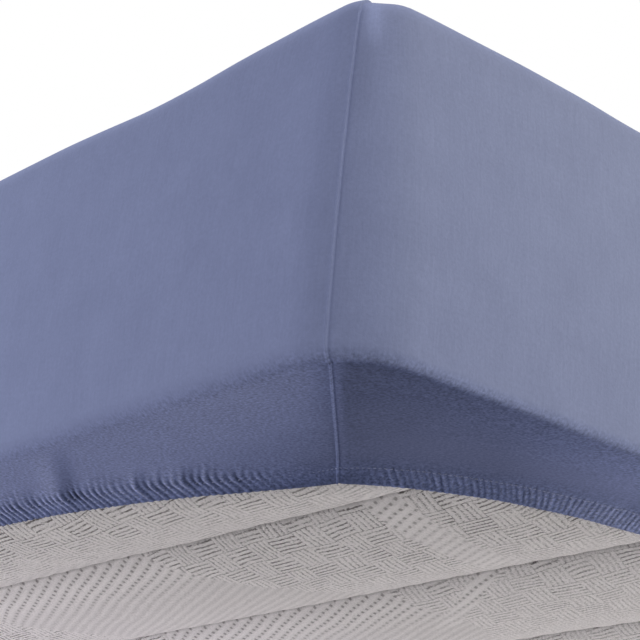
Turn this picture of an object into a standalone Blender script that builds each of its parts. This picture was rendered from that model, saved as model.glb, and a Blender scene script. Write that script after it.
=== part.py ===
"""Fitted sheet on a single mattress: two closed solids, the cloth and the mattress inside it.

Units are metres and +Z is up. The origin is the middle of the base, on the surface that the
mattress rests on. X runs along the mattress and Y across it.

The cloth is one skin: a flat top, rounded top edges that dip a little here and there, four
sides, and a margin that a gathered hem draws in under the mattress. The mattress has the same
form a little smaller, with sewn channels where the hem leaves its underside bare.
"""

from math import cos, exp, pi, radians, sin
from random import Random
from typing import NamedTuple

import bmesh
import bpy
from mathutils import Vector

# Outside of the fitted cloth
LENGTH = 2.000
WIDTH = 0.900
HEIGHT = 0.250
PLATEAU_INSET = 0.150
WAIST = 0.003
TOP_CORNER = 0.040
BASE_CORNER = 0.060

# Cloth
CLOTH = 0.0015
CLOTH_GAP = 0.0005
MARGIN_LEVEL = 0.010
PUCKER_SPREAD = 0.22
PUCKER_LEAST = 0.45
PUCKER_ROOM = 0.022
RIM_LEVEL = 0.0042

# Mattress
CHANNEL_FIRST = 0.225
CHANNEL_PITCH = 0.190
CHANNEL_COUNT = 3
CHANNEL_DEPTH = 0.009
CROWN_FLAT = 0.40
END_ROUNDING = 0.075
HEM_CLEARANCE = 0.003

# How finely the outline is divided
HALF_CORNER_STEPS = 4
LONG_SIDE_STEPS = 28
SHORT_SIDE_STEPS = 12


class Side(NamedTuple):
    """One side of the plan: the way it faces, the way it runs, and its half sizes."""

    outward: Vector
    along: Vector
    half_depth: float
    half_run: float


EAST, NORTH, WEST, SOUTH = range(4)
SIDES = (
    Side(Vector((1, 0)), Vector((0, 1)), LENGTH / 2, WIDTH / 2),
    Side(Vector((0, 1)), Vector((-1, 0)), WIDTH / 2, LENGTH / 2),
    Side(Vector((-1, 0)), Vector((0, -1)), LENGTH / 2, WIDTH / 2),
    Side(Vector((0, -1)), Vector((1, 0)), WIDTH / 2, LENGTH / 2),
)


class Dip(NamedTuple):
    """A place where a top edge sinks: its side, its middle along that side, depth and reach."""

    side: int
    middle: float
    depth: float
    reach: float


DIPS = (
    Dip(SOUTH, middle=1.785, depth=0.0063, reach=0.084),
    Dip(SOUTH, middle=1.260, depth=0.0022, reach=0.150),
    Dip(SOUTH, middle=0.700, depth=0.0034, reach=0.120),
    Dip(SOUTH, middle=0.250, depth=0.0026, reach=0.090),
    Dip(EAST, middle=0.020, depth=0.0030, reach=0.035),
    Dip(EAST, middle=0.274, depth=0.0061, reach=0.065),
    Dip(EAST, middle=0.720, depth=0.0020, reach=0.110),
    Dip(NORTH, middle=0.260, depth=0.0032, reach=0.110),
    Dip(NORTH, middle=0.880, depth=0.0020, reach=0.160),
    Dip(NORTH, middle=1.520, depth=0.0038, reach=0.120),
    Dip(WEST, middle=0.320, depth=0.0024, reach=0.100),
    Dip(WEST, middle=0.640, depth=0.0014, reach=0.090),
)


class HemLine(NamedTuple):
    """The hem along one side: where its corner point lies along that side, its distance in from
    the side away from the corners, and how it comes out to that distance."""

    corner_run: float
    rest: float
    reach: float
    power: float


LONG_HEM = HemLine(corner_run=0.198, rest=0.082, reach=0.165, power=1.3)
SHORT_HEM = HemLine(corner_run=0.168, rest=0.104, reach=0.085, power=1.0)
HEMS = (SHORT_HEM, LONG_HEM, SHORT_HEM, LONG_HEM)
CORNER_PULL = 0.350


class Form(NamedTuple):
    """One skin of the rounded body: how far it lies inside the cloth's outer face, its edge
    rolls with their steps, how far its top falls towards the edges, and its corners' extra."""

    shrink: float
    top_roll: float
    top_steps: int
    base_roll: float
    base_steps: int
    edge_drop: float
    corner_extra: float


CLOTH_OUTSIDE = Form(0.0, 0.024, 4, 0.014, 3, 0.0004, 0.0)
CLOTH_INSIDE = Form(CLOTH, 0.024, 4, 0.014, 3, 0.0004, 0.0)
MATTRESS_SKIN = Form(CLOTH + CLOTH_GAP, 0.032, 4, 0.018, 3, 0.007, 0.005)


class Ring(NamedTuple):
    """One level line of a skin: inset from the outline, corner radius, height, and its share of
    each dip."""

    inset: float
    corner: float
    height: float
    dip: float


class WrapRow(NamedTuple):
    """One row of the cloth under the mattress: how far it lies from the crease to the hem, the
    fall of its middle, its puckers' depth and half its thickness."""

    share: float
    fall: float
    pucker: float
    half: float


PLAIN_ROWS = (
    WrapRow(share=0.42, fall=0.0004, pucker=0.0, half=CLOTH / 2),
    WrapRow(share=0.70, fall=0.0014, pucker=0.0, half=CLOTH / 2),
)
GATHERED_ROWS = (
    WrapRow(share=0.80, fall=0.0026, pucker=0.0009, half=CLOTH / 2),
    WrapRow(share=0.90, fall=0.0046, pucker=0.0018, half=0.0010),
    WrapRow(share=0.95, fall=MARGIN_LEVEL + CLOTH / 2 - RIM_LEVEL, pucker=0.0020, half=0.0021),
    WrapRow(share=0.985, fall=MARGIN_LEVEL + CLOTH / 2 - RIM_LEVEL, pucker=0.0021, half=0.0021),
)
NOSE_ROW = WrapRow(share=1.0, fall=MARGIN_LEVEL + CLOTH / 2 - RIM_LEVEL, pucker=0.0012, half=0.0)


class Station(NamedTuple):
    """A place on the outline: its side, its turn from that side's facing towards its start (-)
    or end (+) corner, its share of the straight run, and its share of the whole side."""

    side: int
    turn: float
    straight: float
    share: float


def stations(finer: int = 1, long_steps: int = LONG_SIDE_STEPS,
             short_steps: int = SHORT_SIDE_STEPS) -> list[Station]:
    """Walk once round the outline from the seam of the (+X, -Y) corner, counter-clockwise."""
    result = []
    for number, side in enumerate(SIDES):
        arc = BASE_CORNER * pi / 4
        run = 2 * (side.half_run - BASE_CORNER)
        whole = run + 2 * arc
        corner_steps = HALF_CORNER_STEPS * finer
        steps = (long_steps if side.half_run > side.half_depth else short_steps) * finer
        for i in range(corner_steps):
            part = i / corner_steps
            result.append(Station(number, -pi / 4 * (1 - part), 0.0, part * arc / whole))
        for i in range(steps):
            part = i / steps
            result.append(Station(number, 0.0, part, (arc + part * run) / whole))
        for i in range(corner_steps):
            part = i / corner_steps
            result.append(Station(number, pi / 4 * part, 1.0, (arc + run + part * arc) / whole))
    return result


def outline_point(station: Station, inset: float, corner: float) -> Vector:
    """The plan point of a station on the outline drawn in by inset, with the given corners."""
    side = SIDES[station.side]
    half = side.half_run - inset - corner
    centre = side.outward * (side.half_depth - inset - corner)
    centre = centre + side.along * (half * (2 * station.straight - 1))
    return centre + (side.outward * cos(station.turn) + side.along * sin(station.turn)) * corner


def hem_depth(side: int, run: float) -> float:
    """How far in from its side the hem lies, at a distance run along that side."""
    hem = HEMS[side]
    at_corner = HEMS[(side + 1) % 4].corner_run
    near = min(run, 2 * SIDES[side].half_run - run)
    past = max(near - hem.corner_run, 0.0)
    return hem.rest + (at_corner - hem.rest) * exp(-((past / hem.reach) ** hem.power))


def hem_point(side: int, share: float) -> Vector:
    """The plan point of the hem that belongs to a share of one side of the outline."""
    length = 2 * SIDES[side].half_run
    run = share * length
    pull = HEMS[side].corner_run / (1 - exp(-length / CORNER_PULL))
    run += pull * (exp(-run / CORNER_PULL) - exp(-(length - run) / CORNER_PULL))
    inward = SIDES[side].half_depth - hem_depth(side, run)
    return SIDES[side].outward * inward + SIDES[side].along * (run - length / 2)


def dip_at(station: Station) -> float:
    """How far the top edge sinks at a station."""
    run = station.share * 2 * SIDES[station.side].half_run
    near = (dip for dip in DIPS if dip.side == station.side)
    return sum(dip.depth * exp(-(((run - dip.middle) / dip.reach) ** 2)) for dip in near)


def rings_of(form: Form) -> list[Ring]:
    """The level lines of a skin, from the flat middle of its top to its underside."""
    def ring(inset: float, height: float, dip: float = 0.0) -> Ring:
        full = TOP_CORNER + (BASE_CORNER - TOP_CORNER) * (1 - height / HEIGHT)
        return Ring(inset, max(full + form.corner_extra - inset, 0.010), height, dip)

    rings = [ring(PLATEAU_INSET, HEIGHT - form.shrink)]
    centre_height = HEIGHT - form.edge_drop - form.top_roll
    radius = form.top_roll - form.shrink
    for step in range(form.top_steps + 1):
        angle = pi / 2 * step / form.top_steps
        rings.append(ring(WAIST + form.top_roll - radius * sin(angle),
                          centre_height + radius * cos(angle), 0.4 + 0.6 * cos(angle)))
    rings.append(ring(form.shrink, (HEIGHT + MARGIN_LEVEL) / 2))
    centre_height = MARGIN_LEVEL + form.base_roll
    radius = form.base_roll - form.shrink
    for step in range(form.base_steps + 1):
        angle = pi / 2 * step / form.base_steps
        rings.append(ring(WAIST + form.base_roll - radius * cos(angle),
                          centre_height - radius * sin(angle)))
    return rings


def ring_points(ring: Ring, places: list[Station]) -> list[Vector]:
    """The points of one level line at the given stations."""
    points = []
    for place in places:
        plan = outline_point(place, ring.inset, ring.corner)
        points.append(Vector((plan.x, plan.y, ring.height - ring.dip * dip_at(place))))
    return points


def wrap_points(row: WrapRow, places: list[Station], puckers: list[float],
                upper: bool) -> list[Vector]:
    """The points of one row of the cloth under the mattress, on its upper or its lower face."""
    crease = rings_of(CLOTH_OUTSIDE)[-1]
    points = []
    for place, pucker in zip(places, puckers):
        start = outline_point(place, crease.inset, crease.corner)
        plan = start.lerp(hem_point(place.side, place.share), row.share)
        height = MARGIN_LEVEL + CLOTH / 2 - row.fall + row.pucker * pucker
        height += row.half if upper else -row.half
        points.append(Vector((plan.x, plan.y, max(height, 0.0))))
    return points


def gather(places: list[Station], seed: int) -> tuple[list[Station], list[float]]:
    """Shift the stations of the gathered rows unevenly, and give each its pucker, up or down.

    A pucker is shallower where the stations crowd together, towards the corner seams.
    """
    rng = Random(seed)
    moved, puckers = [], []
    for number, place in enumerate(places):
        after = places[(number + 1) % len(places)]
        spacing = after.share - place.share if after.side == place.side else 0.0
        shift = spacing * rng.uniform(-PUCKER_SPREAD, PUCKER_SPREAD)
        moved.append(place._replace(share=max(place.share + shift, 0.0)))
        room = (hem_point(after.side, after.share) - hem_point(place.side, place.share)).length
        size = rng.uniform(PUCKER_LEAST, 1.0) * min(room / PUCKER_ROOM, 1.0)
        puckers.append(-size if number % 2 == 0 else size)
    return moved, puckers


def join_rings(mesh: bmesh.types.BMesh, upper: list, lower: list) -> None:
    """Join two closed rows of vertices, where the lower has as many as the upper or twice."""
    count = len(upper)
    finer = len(lower) // count
    for i in range(count):
        here, after = upper[i], upper[(i + 1) % count]
        row = [lower[(finer * i + j) % len(lower)] for j in range(finer + 1)]
        if finer == 1:
            mesh.faces.new((here, row[0], row[1], after))
        else:
            mesh.faces.new((here, row[0], row[1]))
            mesh.faces.new((here, row[1], after))
            mesh.faces.new((after, row[1], row[2]))


def join_rings_back(mesh: bmesh.types.BMesh, upper: list, lower: list) -> None:
    """Join two closed rows as join_rings does, where the upper has twice as many."""
    count = len(lower)
    for i in range(count):
        here, after = lower[i], lower[(i + 1) % count]
        first, middle, last = (upper[(2 * i + j) % len(upper)] for j in range(3))
        mesh.faces.new((first, here, middle))
        mesh.faces.new((middle, here, after))
        mesh.faces.new((middle, after, last))


def finish(name: str, mesh: bmesh.types.BMesh, material: bpy.types.Material) -> bpy.types.Object:
    """Make a named, smooth-shaded object of a closed mesh."""
    bmesh.ops.recalc_face_normals(mesh, faces=mesh.faces)
    data = bpy.data.meshes.new(name)
    mesh.to_mesh(data)
    mesh.free()
    data.materials.append(material)
    data.shade_smooth()
    data.set_sharp_from_angle(angle=radians(50))
    thing = bpy.data.objects.new(name, data)
    bpy.context.scene.collection.objects.link(thing)
    return thing


def add_row(mesh: bmesh.types.BMesh, points: list[Vector]) -> list:
    """Add one row of vertices."""
    return [mesh.verts.new(point) for point in points]


def make_fitted_sheet(material: bpy.types.Material) -> bpy.types.Object:
    """The cloth: outer face from the top down to the hem, then its inner face back up."""
    places = stations()
    fine_places, puckers = gather(stations(finer=2), seed=11)
    level = [0.0] * len(places)
    rows = [ring_points(ring, places) for ring in rings_of(CLOTH_OUTSIDE)]
    rows += [wrap_points(row, places, level, upper=False) for row in PLAIN_ROWS]
    rows += [wrap_points(row, fine_places, puckers, upper=False) for row in GATHERED_ROWS]
    rows.append(wrap_points(NOSE_ROW, fine_places, puckers, upper=False))
    rows += [wrap_points(row, fine_places, puckers, upper=True) for row in GATHERED_ROWS[::-1]]
    rows += [wrap_points(row, places, level, upper=True) for row in PLAIN_ROWS[::-1]]
    rows += [ring_points(ring, places) for ring in rings_of(CLOTH_INSIDE)[::-1]]

    mesh = bmesh.new()
    laid = [add_row(mesh, row) for row in rows]
    for upper, lower in zip(laid, laid[1:]):
        joint = join_rings if len(upper) <= len(lower) else join_rings_back
        joint(mesh, upper, lower)
    mesh.faces.new(laid[0])
    mesh.faces.new(laid[-1][::-1])
    return finish("fitted_sheet", mesh, material)


def crown_fall(share: float) -> float:
    """How much of a seam's depth is left at a share of the way to the next seam, 1 to 0."""
    rounded = (1 - CROWN_FLAT) / 2
    if share >= rounded:
        return 0.0
    return (1 - share / rounded) ** 2.2


CROWN_SHARES = (0.0, 0.06, 0.15, 0.30, 0.70, 0.85, 0.94)
END_SHARES = (0.0, 0.012, 0.032, 0.08, 0.15, 0.25, 0.37, 0.54, 0.77, 1.0)


def quilt_patch(mesh: bmesh.types.BMesh, margin: float) -> list[list]:
    """The bare underside as rows of vertices from -Y to +Y, its border at the margin's height.

    Each row runs from -X to +X. The rows follow the hem at the two long sides and the sewn
    channels between them, and the puffed crowns are flat on the surface below.
    """
    long_steps = [-1 + share for share in END_SHARES] + [1 - share for share in END_SHARES[-2::-1]]
    channels = [CHANNEL_FIRST + CHANNEL_PITCH * i - WIDTH / 2 for i in range(CHANNEL_COUNT)]

    def edge_y(x: float, facing: int) -> float:
        """Where the patch ends at a long side, facing -1 or +1."""
        depth = hem_depth(SOUTH, LENGTH / 2 - abs(x)) + HEM_CLEARANCE
        return facing * (WIDTH / 2 - depth)

    def edge_x(y: float) -> float:
        """Where the patch ends at a short side, as a distance from the middle."""
        return LENGTH / 2 - hem_depth(EAST, WIDTH / 2 - abs(y)) - HEM_CLEARANCE

    def row_y(x: float, panel: int, share: float) -> float:
        """The place of a row across the mattress: a share of one panel between two seams."""
        lines = [edge_y(x, -1), *channels, edge_y(x, 1)]
        return lines[panel] + (lines[panel + 1] - lines[panel]) * share

    corner_x = LENGTH / 2 - LONG_HEM.corner_run - HEM_CLEARANCE
    depths = [margin] + [CHANNEL_DEPTH] * CHANNEL_COUNT + [margin]
    steps = [(panel, share) for panel in range(CHANNEL_COUNT + 1) for share in CROWN_SHARES]
    steps.append((CHANNEL_COUNT, 1.0))
    rows = []
    for panel, share in steps:
        across = depths[panel] * crown_fall(share) + depths[panel + 1] * crown_fall(1 - share)
        reach = edge_x(row_y(corner_x, panel, share))
        row = []
        for step in long_steps:
            x = reach * step
            end = margin * crown_fall((reach - abs(x)) / END_ROUNDING * (1 - CROWN_FLAT) / 2)
            height = margin - (margin - across) * (margin - end) / margin
            row.append(mesh.verts.new((x, row_y(x, panel, share), height)))
        rows.append(row)
    return rows


def make_mattress(material: bpy.types.Material) -> bpy.types.Object:
    """The mattress: one filled solid with rounded edges and a channelled underside."""
    places = stations(long_steps=1, short_steps=1)
    rings = rings_of(MATTRESS_SKIN)
    mesh = bmesh.new()
    laid = [add_row(mesh, ring_points(ring._replace(dip=0.0), places)) for ring in rings]
    for upper, lower in zip(laid, laid[1:]):
        join_rings(mesh, upper, lower)
    mesh.faces.new(laid[0])

    patch = quilt_patch(mesh, rings[-1].height)
    for low, high in zip(patch, patch[1:]):
        for i in range(len(low) - 1):
            mesh.faces.new((low[i], high[i], high[i + 1], low[i + 1]))
    sides = [[row[-1] for row in patch], [row[0] for row in patch][::-1]]
    border = patch[0] + sides[0][1:-1] + patch[-1][::-1] + sides[1][1:-1]
    rim = laid[-1]
    edges = []
    for loop in (border, rim):
        for here, after in zip(loop, loop[1:] + loop[:1]):
            edges.append(mesh.edges.get((here, after)) or mesh.edges.new((here, after)))
    bmesh.ops.triangle_fill(mesh, use_beauty=True, edges=edges)
    return finish("mattress", mesh, material)


def make_material(name: str, colour: tuple[float, float, float],
                  roughness: float) -> bpy.types.Material:
    """A plain cloth finish."""
    material = bpy.data.materials.new(name)
    material.use_nodes = True
    shader = material.node_tree.nodes["Principled BSDF"]
    shader.inputs["Base Color"].default_value = (*colour, 1.0)
    shader.inputs["Roughness"].default_value = roughness
    shader.inputs["Metallic"].default_value = 0.0
    return material


def main() -> None:
    """Clear the scene and build the dressed mattress under one empty."""
    for thing in list(bpy.data.objects):
        bpy.data.objects.remove(thing, do_unlink=True)
    base = bpy.data.objects.new("dressed_mattress", None)
    bpy.context.scene.collection.objects.link(base)
    jersey = make_material("blue_jersey", (0.190, 0.215, 0.345), 0.90)
    ticking = make_material("off_white_ticking", (0.600, 0.570, 0.560), 0.85)
    for thing in (make_fitted_sheet(jersey), make_mattress(ticking)):
        thing.parent = base


main()
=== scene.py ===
"""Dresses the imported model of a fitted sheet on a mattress: jersey, ticking, sewing and studio.

Everything is in metres with +Z up, on the frame's own origin: the middle of the base, with X along
the mattress. The sheet is one closed skin of cloth, lofted in rows from the middle of its top down
over the sides, under the mattress to the gathered hem and back up inside. The mattress is one
padded solid whose underside is a height field of sewn channels.
"""

from __future__ import annotations

import logging
import math
from dataclasses import dataclass, field
from enum import Enum

import bpy
import numpy as np
from mathutils import Matrix, Vector

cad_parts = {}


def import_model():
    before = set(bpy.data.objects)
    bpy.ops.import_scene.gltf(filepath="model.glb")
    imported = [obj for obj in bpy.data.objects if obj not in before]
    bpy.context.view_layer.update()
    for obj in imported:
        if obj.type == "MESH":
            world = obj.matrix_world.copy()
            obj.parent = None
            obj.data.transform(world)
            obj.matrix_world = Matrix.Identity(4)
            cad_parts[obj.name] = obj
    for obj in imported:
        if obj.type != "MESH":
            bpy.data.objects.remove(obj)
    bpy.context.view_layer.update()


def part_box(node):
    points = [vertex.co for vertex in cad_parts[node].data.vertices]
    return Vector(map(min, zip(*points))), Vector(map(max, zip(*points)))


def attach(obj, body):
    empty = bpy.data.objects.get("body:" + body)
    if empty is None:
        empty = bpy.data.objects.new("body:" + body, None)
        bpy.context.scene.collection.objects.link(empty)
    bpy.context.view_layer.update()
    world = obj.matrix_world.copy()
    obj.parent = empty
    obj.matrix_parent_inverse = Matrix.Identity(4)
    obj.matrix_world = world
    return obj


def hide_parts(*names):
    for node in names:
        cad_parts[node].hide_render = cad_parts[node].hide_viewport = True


LOG = logging.getLogger("dressed_mattress")
MM = 0.001
TINY = 1e-9

Colour = tuple[float, float, float]
Triple = tuple[float, float, float]
Pair = tuple[float, float]
Socket = bpy.types.NodeSocket


class Side(Enum):
    """The sides of the plan, counter-clockwise from +X."""

    EAST = 0
    NORTH = 1
    WEST = 2
    SOUTH = 3


LONG_SIDES = (Side.NORTH, Side.SOUTH)
OUTWARD = np.array([[1, 0], [0, 1], [-1, 0], [0, -1]], float)
ALONG = np.array([[0, 1], [-1, 0], [0, -1], [1, 0]], float)


def smooth(x: np.ndarray | float) -> np.ndarray:
    """Ease from 0 to 1 as x goes from 0 to 1."""
    x = np.clip(x, 0.0, 1.0)
    return x * x * (3 - 2 * x)


def bell(x: np.ndarray, middle: float, width: float) -> np.ndarray:
    """A soft bump that is 1 at the middle and about a third at the width on either side."""
    return np.exp(-(((x - middle) / width) ** 2))


@dataclass
class Walk:
    """Stations round the outline, from the seam of the (+X, -Y) corner.

    Attributes:
        side: the side that each station is on, as a Side value.
        share: how far along its side each station is, from its start seam to its end seam.
    """

    side: np.ndarray
    share: np.ndarray

    @property
    def count(self) -> int:
        """How many stations there are."""
        return len(self.side)

    @property
    def on_long(self) -> np.ndarray:
        """Whether each station is on a long side."""
        return np.isin(self.side, [side.value for side in LONG_SIDES])

    def finer(self) -> Walk:
        """Put one more station halfway between each two neighbours."""
        after = np.where(np.roll(self.side, -1) == self.side, np.roll(self.share, -1), 1.0)
        side = np.repeat(self.side, 2)
        share = np.stack([self.share, (self.share + after) / 2], axis=1).ravel()
        return Walk(side, share)


@dataclass(frozen=True)
class Outline:
    """The rounded plan of the dressed mattress, with a seam in each corner."""

    length: float
    width: float
    corner: float = 60 * MM
    least_corner: float = 10 * MM
    seam_from_long_side: float = math.radians(30)
    arc_steps_short: int = 5
    arc_steps_long: int = 10
    seen_spacing: float = 8 * MM
    seen_short_spacing: float = 6.2 * MM
    far_spacing: float = 26 * MM
    seen_run: float = 0.75
    seam_detail: tuple[float, ...] = (0.4, 0.8, 1.3, 1.9, 2.7, 3.8, 5.2)
    corner_ease: float = 90 * MM

    @property
    def half_depth(self) -> np.ndarray:
        """Half the plan's size across each side."""
        return np.array([self.length, self.width, self.length, self.width]) / 2

    @property
    def half_run(self) -> np.ndarray:
        """Half the length of each side."""
        return np.array([self.width, self.length, self.width, self.length]) / 2

    @property
    def seam_turn(self) -> np.ndarray:
        """The angle between each side's facing and the seams at its ends."""
        short_share = math.pi / 2 - self.seam_from_long_side
        return np.array([short_share, self.seam_from_long_side] * 2)

    def splits(self, side: int) -> tuple[float, float]:
        """The length of one end arc of a side, and of its straight run."""
        arc = self.corner * self.seam_turn[side]
        return arc, 2 * (self.half_run[side] - self.corner)

    def side_walk(self, side: Side) -> np.ndarray:
        """The shares of the stations of one side."""
        arc, run = self.splits(side.value)
        whole = run + 2 * arc
        steps = self.arc_steps_short if side in LONG_SIDES else self.arc_steps_long
        seen = {Side.SOUTH: self.seen_run, Side.EAST: run}.get(side, 0.0)
        parts = [np.linspace(0, arc, steps, endpoint=False)]
        far_count = round((run - seen) / self.far_spacing)
        if far_count:
            parts.append(np.linspace(arc, arc + run - seen, far_count, endpoint=False))
        if seen:
            spacing = self.seen_short_spacing if side is Side.EAST else self.seen_spacing
            count = round(seen / spacing)
            parts.append(np.linspace(arc + run - seen, arc + run, count, endpoint=False))
        parts.append(np.linspace(arc + run, whole, steps, endpoint=False))
        detail = np.array(self.seam_detail) * MM
        places = np.concatenate([*parts, detail, whole - detail])
        places = np.unique(np.round(places / whole, 7))
        return places[places < 1.0]

    def walk(self) -> Walk:
        """All the stations, once round."""
        shares = [self.side_walk(side) for side in Side]
        sides = [np.full(len(part), side.value) for side, part in zip(Side, shares)]
        return Walk(np.concatenate(sides), np.concatenate(shares))

    def turn_and_straight(self, walk: Walk) -> tuple[np.ndarray, np.ndarray]:
        """Each station's turn away from its side's facing, and its share of the straight run."""
        turn, straight = np.zeros(walk.count), np.zeros(walk.count)
        for side in Side:
            here = walk.side == side.value
            arc, run = self.splits(side.value)
            knots = np.array([0, arc, arc + run, run + 2 * arc]) / (run + 2 * arc)
            most = self.seam_turn[side.value]
            turn[here] = np.interp(walk.share[here], knots, [-most, 0, 0, most])
            straight[here] = np.interp(walk.share[here], knots, [0, 0, 1, 1])
        return turn, straight

    def facing(self, walk: Walk) -> np.ndarray:
        """The outward direction at each station."""
        turn, _ = self.turn_and_straight(walk)
        outward, along = OUTWARD[walk.side], ALONG[walk.side]
        return outward * np.cos(turn)[:, None] + along * np.sin(turn)[:, None]

    def points(self, walk: Walk, inset: np.ndarray | float, corner: float) -> np.ndarray:
        """Plan points of the outline drawn in by inset, with corners of the given radius.

        Args:
            walk: the stations.
            inset: how far each station is drawn in.
            corner: the corner radius before it is drawn in.

        Returns:
            One x, y pair for each station.
        """
        _, straight = self.turn_and_straight(walk)
        inset = np.broadcast_to(inset, walk.count)
        radius = np.maximum(corner - inset, self.least_corner)
        half = self.half_run[walk.side] - inset - radius
        depth = self.half_depth[walk.side] - inset - radius
        centre = OUTWARD[walk.side] * depth[:, None]
        centre = centre + ALONG[walk.side] * (half * (2 * straight - 1))[:, None]
        return centre + self.facing(walk) * radius[:, None]

    def run(self, walk: Walk) -> np.ndarray:
        """Distance along each station's side, between the sharp corners."""
        return walk.share * 2 * self.half_run[walk.side]

    def from_seam(self, walk: Walk) -> np.ndarray:
        """Distance along each station's side, from the nearer of its seams."""
        return np.minimum(walk.share, 1 - walk.share) * 2 * self.half_run[walk.side]

    def long_share(self, walk: Walk) -> np.ndarray:
        """1 on the long sides and 0 on the short ones, easing across the corner seams."""
        ease = smooth(0.5 + 0.5 * np.minimum(self.from_seam(walk) / self.corner_ease, 1.0))
        return np.where(walk.on_long, ease, 1 - ease)


@dataclass(frozen=True)
class HemLine:
    """Where the hem runs along one kind of side, and how it is gathered there.

    Attributes:
        corner_run: how far the hem's own corner lies from the sharp corner, along the side.
        rest: how far in the hem lies in the middle of the side.
        reach: how soon it comes back to that from its corner.
        power: how square its shoulder is.
        casing: the width of the folded hem.
        pitch: the mean distance between ridges.
        ridge: their greatest height.
        ridge_reach: how far they run on past the casing.
        calm: the length next to the hem's corner with hardly any ridges.
        fade_in: the length over which they grow after that.
        slant: how far they run sideways for each metre inwards, past the casing.
        corner_slant: the same in the casing, close to the corner.
        far_slant: the same in the casing, away from the corner.
        contrast: how much lighter their crests are painted than their valleys, as painted highlight
            and painted shade.
        casing_painted_light: how light the casing is painted next to the cloth above it, as painted
            light.
        edge_painted_shade: how light the hem's very edge is painted next to the rest of it, as
            painted shade along the edge.
    """

    corner_run: float
    rest: float
    reach: float
    power: float
    casing: float
    pitch: float
    ridge: float
    ridge_reach: float
    calm: float
    fade_in: float
    slant: float
    corner_slant: float
    far_slant: float
    contrast: float
    casing_painted_light: float
    edge_painted_shade: float


LONG_HEM = HemLine(corner_run=198 * MM, rest=82 * MM, reach=165 * MM, power=1.3, casing=13 * MM,
                   pitch=6.5 * MM, ridge=1.8 * MM, ridge_reach=42 * MM, calm=12 * MM,
                   fade_in=62 * MM, slant=0.95, corner_slant=-0.1, far_slant=-0.1, contrast=1.05,
                   casing_painted_light=0.99, edge_painted_shade=0.74)
SHORT_HEM = HemLine(corner_run=168 * MM, rest=104 * MM, reach=85 * MM, power=1.0, casing=18 * MM,
                    pitch=4.3 * MM, ridge=1.0 * MM, ridge_reach=3.5 * MM, calm=0 * MM,
                    fade_in=18 * MM, slant=0.8, corner_slant=0.9, far_slant=0.45, contrast=0.46,
                    casing_painted_light=1.31, edge_painted_shade=0.90)


@dataclass(frozen=True)
class Hem:
    """The line of the hem on the underside."""

    outline: Outline
    long_line: HemLine = LONG_HEM
    short_line: HemLine = SHORT_HEM
    corner_pull: float = 0.350

    @property
    def lines(self) -> list[HemLine]:
        """The hem line of each side."""
        return [self.short_line, self.long_line] * 2

    def depth(self, side: int, run: np.ndarray) -> np.ndarray:
        """How far in from its side the hem lies, at distances run along that side."""
        line, corner_depth = self.lines[side], self.lines[(side + 1) % 4].corner_run
        near = np.minimum(run, 2 * self.outline.half_run[side] - run)
        past = np.maximum(near - line.corner_run, 0.0)
        return line.rest + (corner_depth - line.rest) * np.exp(-((past / line.reach) ** line.power))

    def runs(self, walk: Walk) -> np.ndarray:
        """How far along its side the cloth of each station reaches the hem."""
        length = 2 * self.outline.half_run[walk.side]
        corner_run = np.array([line.corner_run for line in self.lines])[walk.side]
        run = walk.share * length
        pull = corner_run / (1 - np.exp(-length / self.corner_pull))
        start, end = np.exp(-run / self.corner_pull), np.exp(-(length - run) / self.corner_pull)
        return run + pull * (start - end)

    def casing(self, walk: Walk) -> np.ndarray:
        """The width of the folded hem at each station."""
        wide, narrow = self.short_line.casing, self.long_line.casing
        return wide + (narrow - wide) * self.outline.long_share(walk)

    def points(self, walk: Walk) -> np.ndarray:
        """The plan points of the hem that belong to the stations."""
        run = self.runs(walk)
        depth = np.zeros(walk.count)
        for side in Side:
            here = walk.side == side.value
            depth[here] = self.depth(side.value, run[here])
        inward = self.outline.half_depth[walk.side] - depth
        across = run - self.outline.half_run[walk.side]
        return OUTWARD[walk.side] * inward[:, None] + ALONG[walk.side] * across[:, None]

    def inside(self, x: np.ndarray, y: np.ndarray) -> np.ndarray:
        """How far points of the underside lie inside the hem, less than zero outside it."""
        half_x, half_y = self.outline.length / 2, self.outline.width / 2
        from_ends = half_x - np.abs(x) - self.depth(Side.EAST.value, half_y - np.abs(y))
        from_sides = half_y - np.abs(y) - self.depth(Side.SOUTH.value, half_x - np.abs(x))
        return np.minimum(from_ends, from_sides)


@dataclass(frozen=True)
class Fold:
    """A larger fold that runs in from the hem.

    Attributes:
        side: the side that it is on.
        run: how far along that side it lies.
        half_width: half its width.
        depth: the depth of its trough.
        reach: how far in from the hem's edge it runs.
        dark: how much darker its trough is painted, as painted shade.
    """

    side: Side
    run: float
    half_width: float
    depth: float
    reach: float
    dark: float = 0.16


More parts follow.
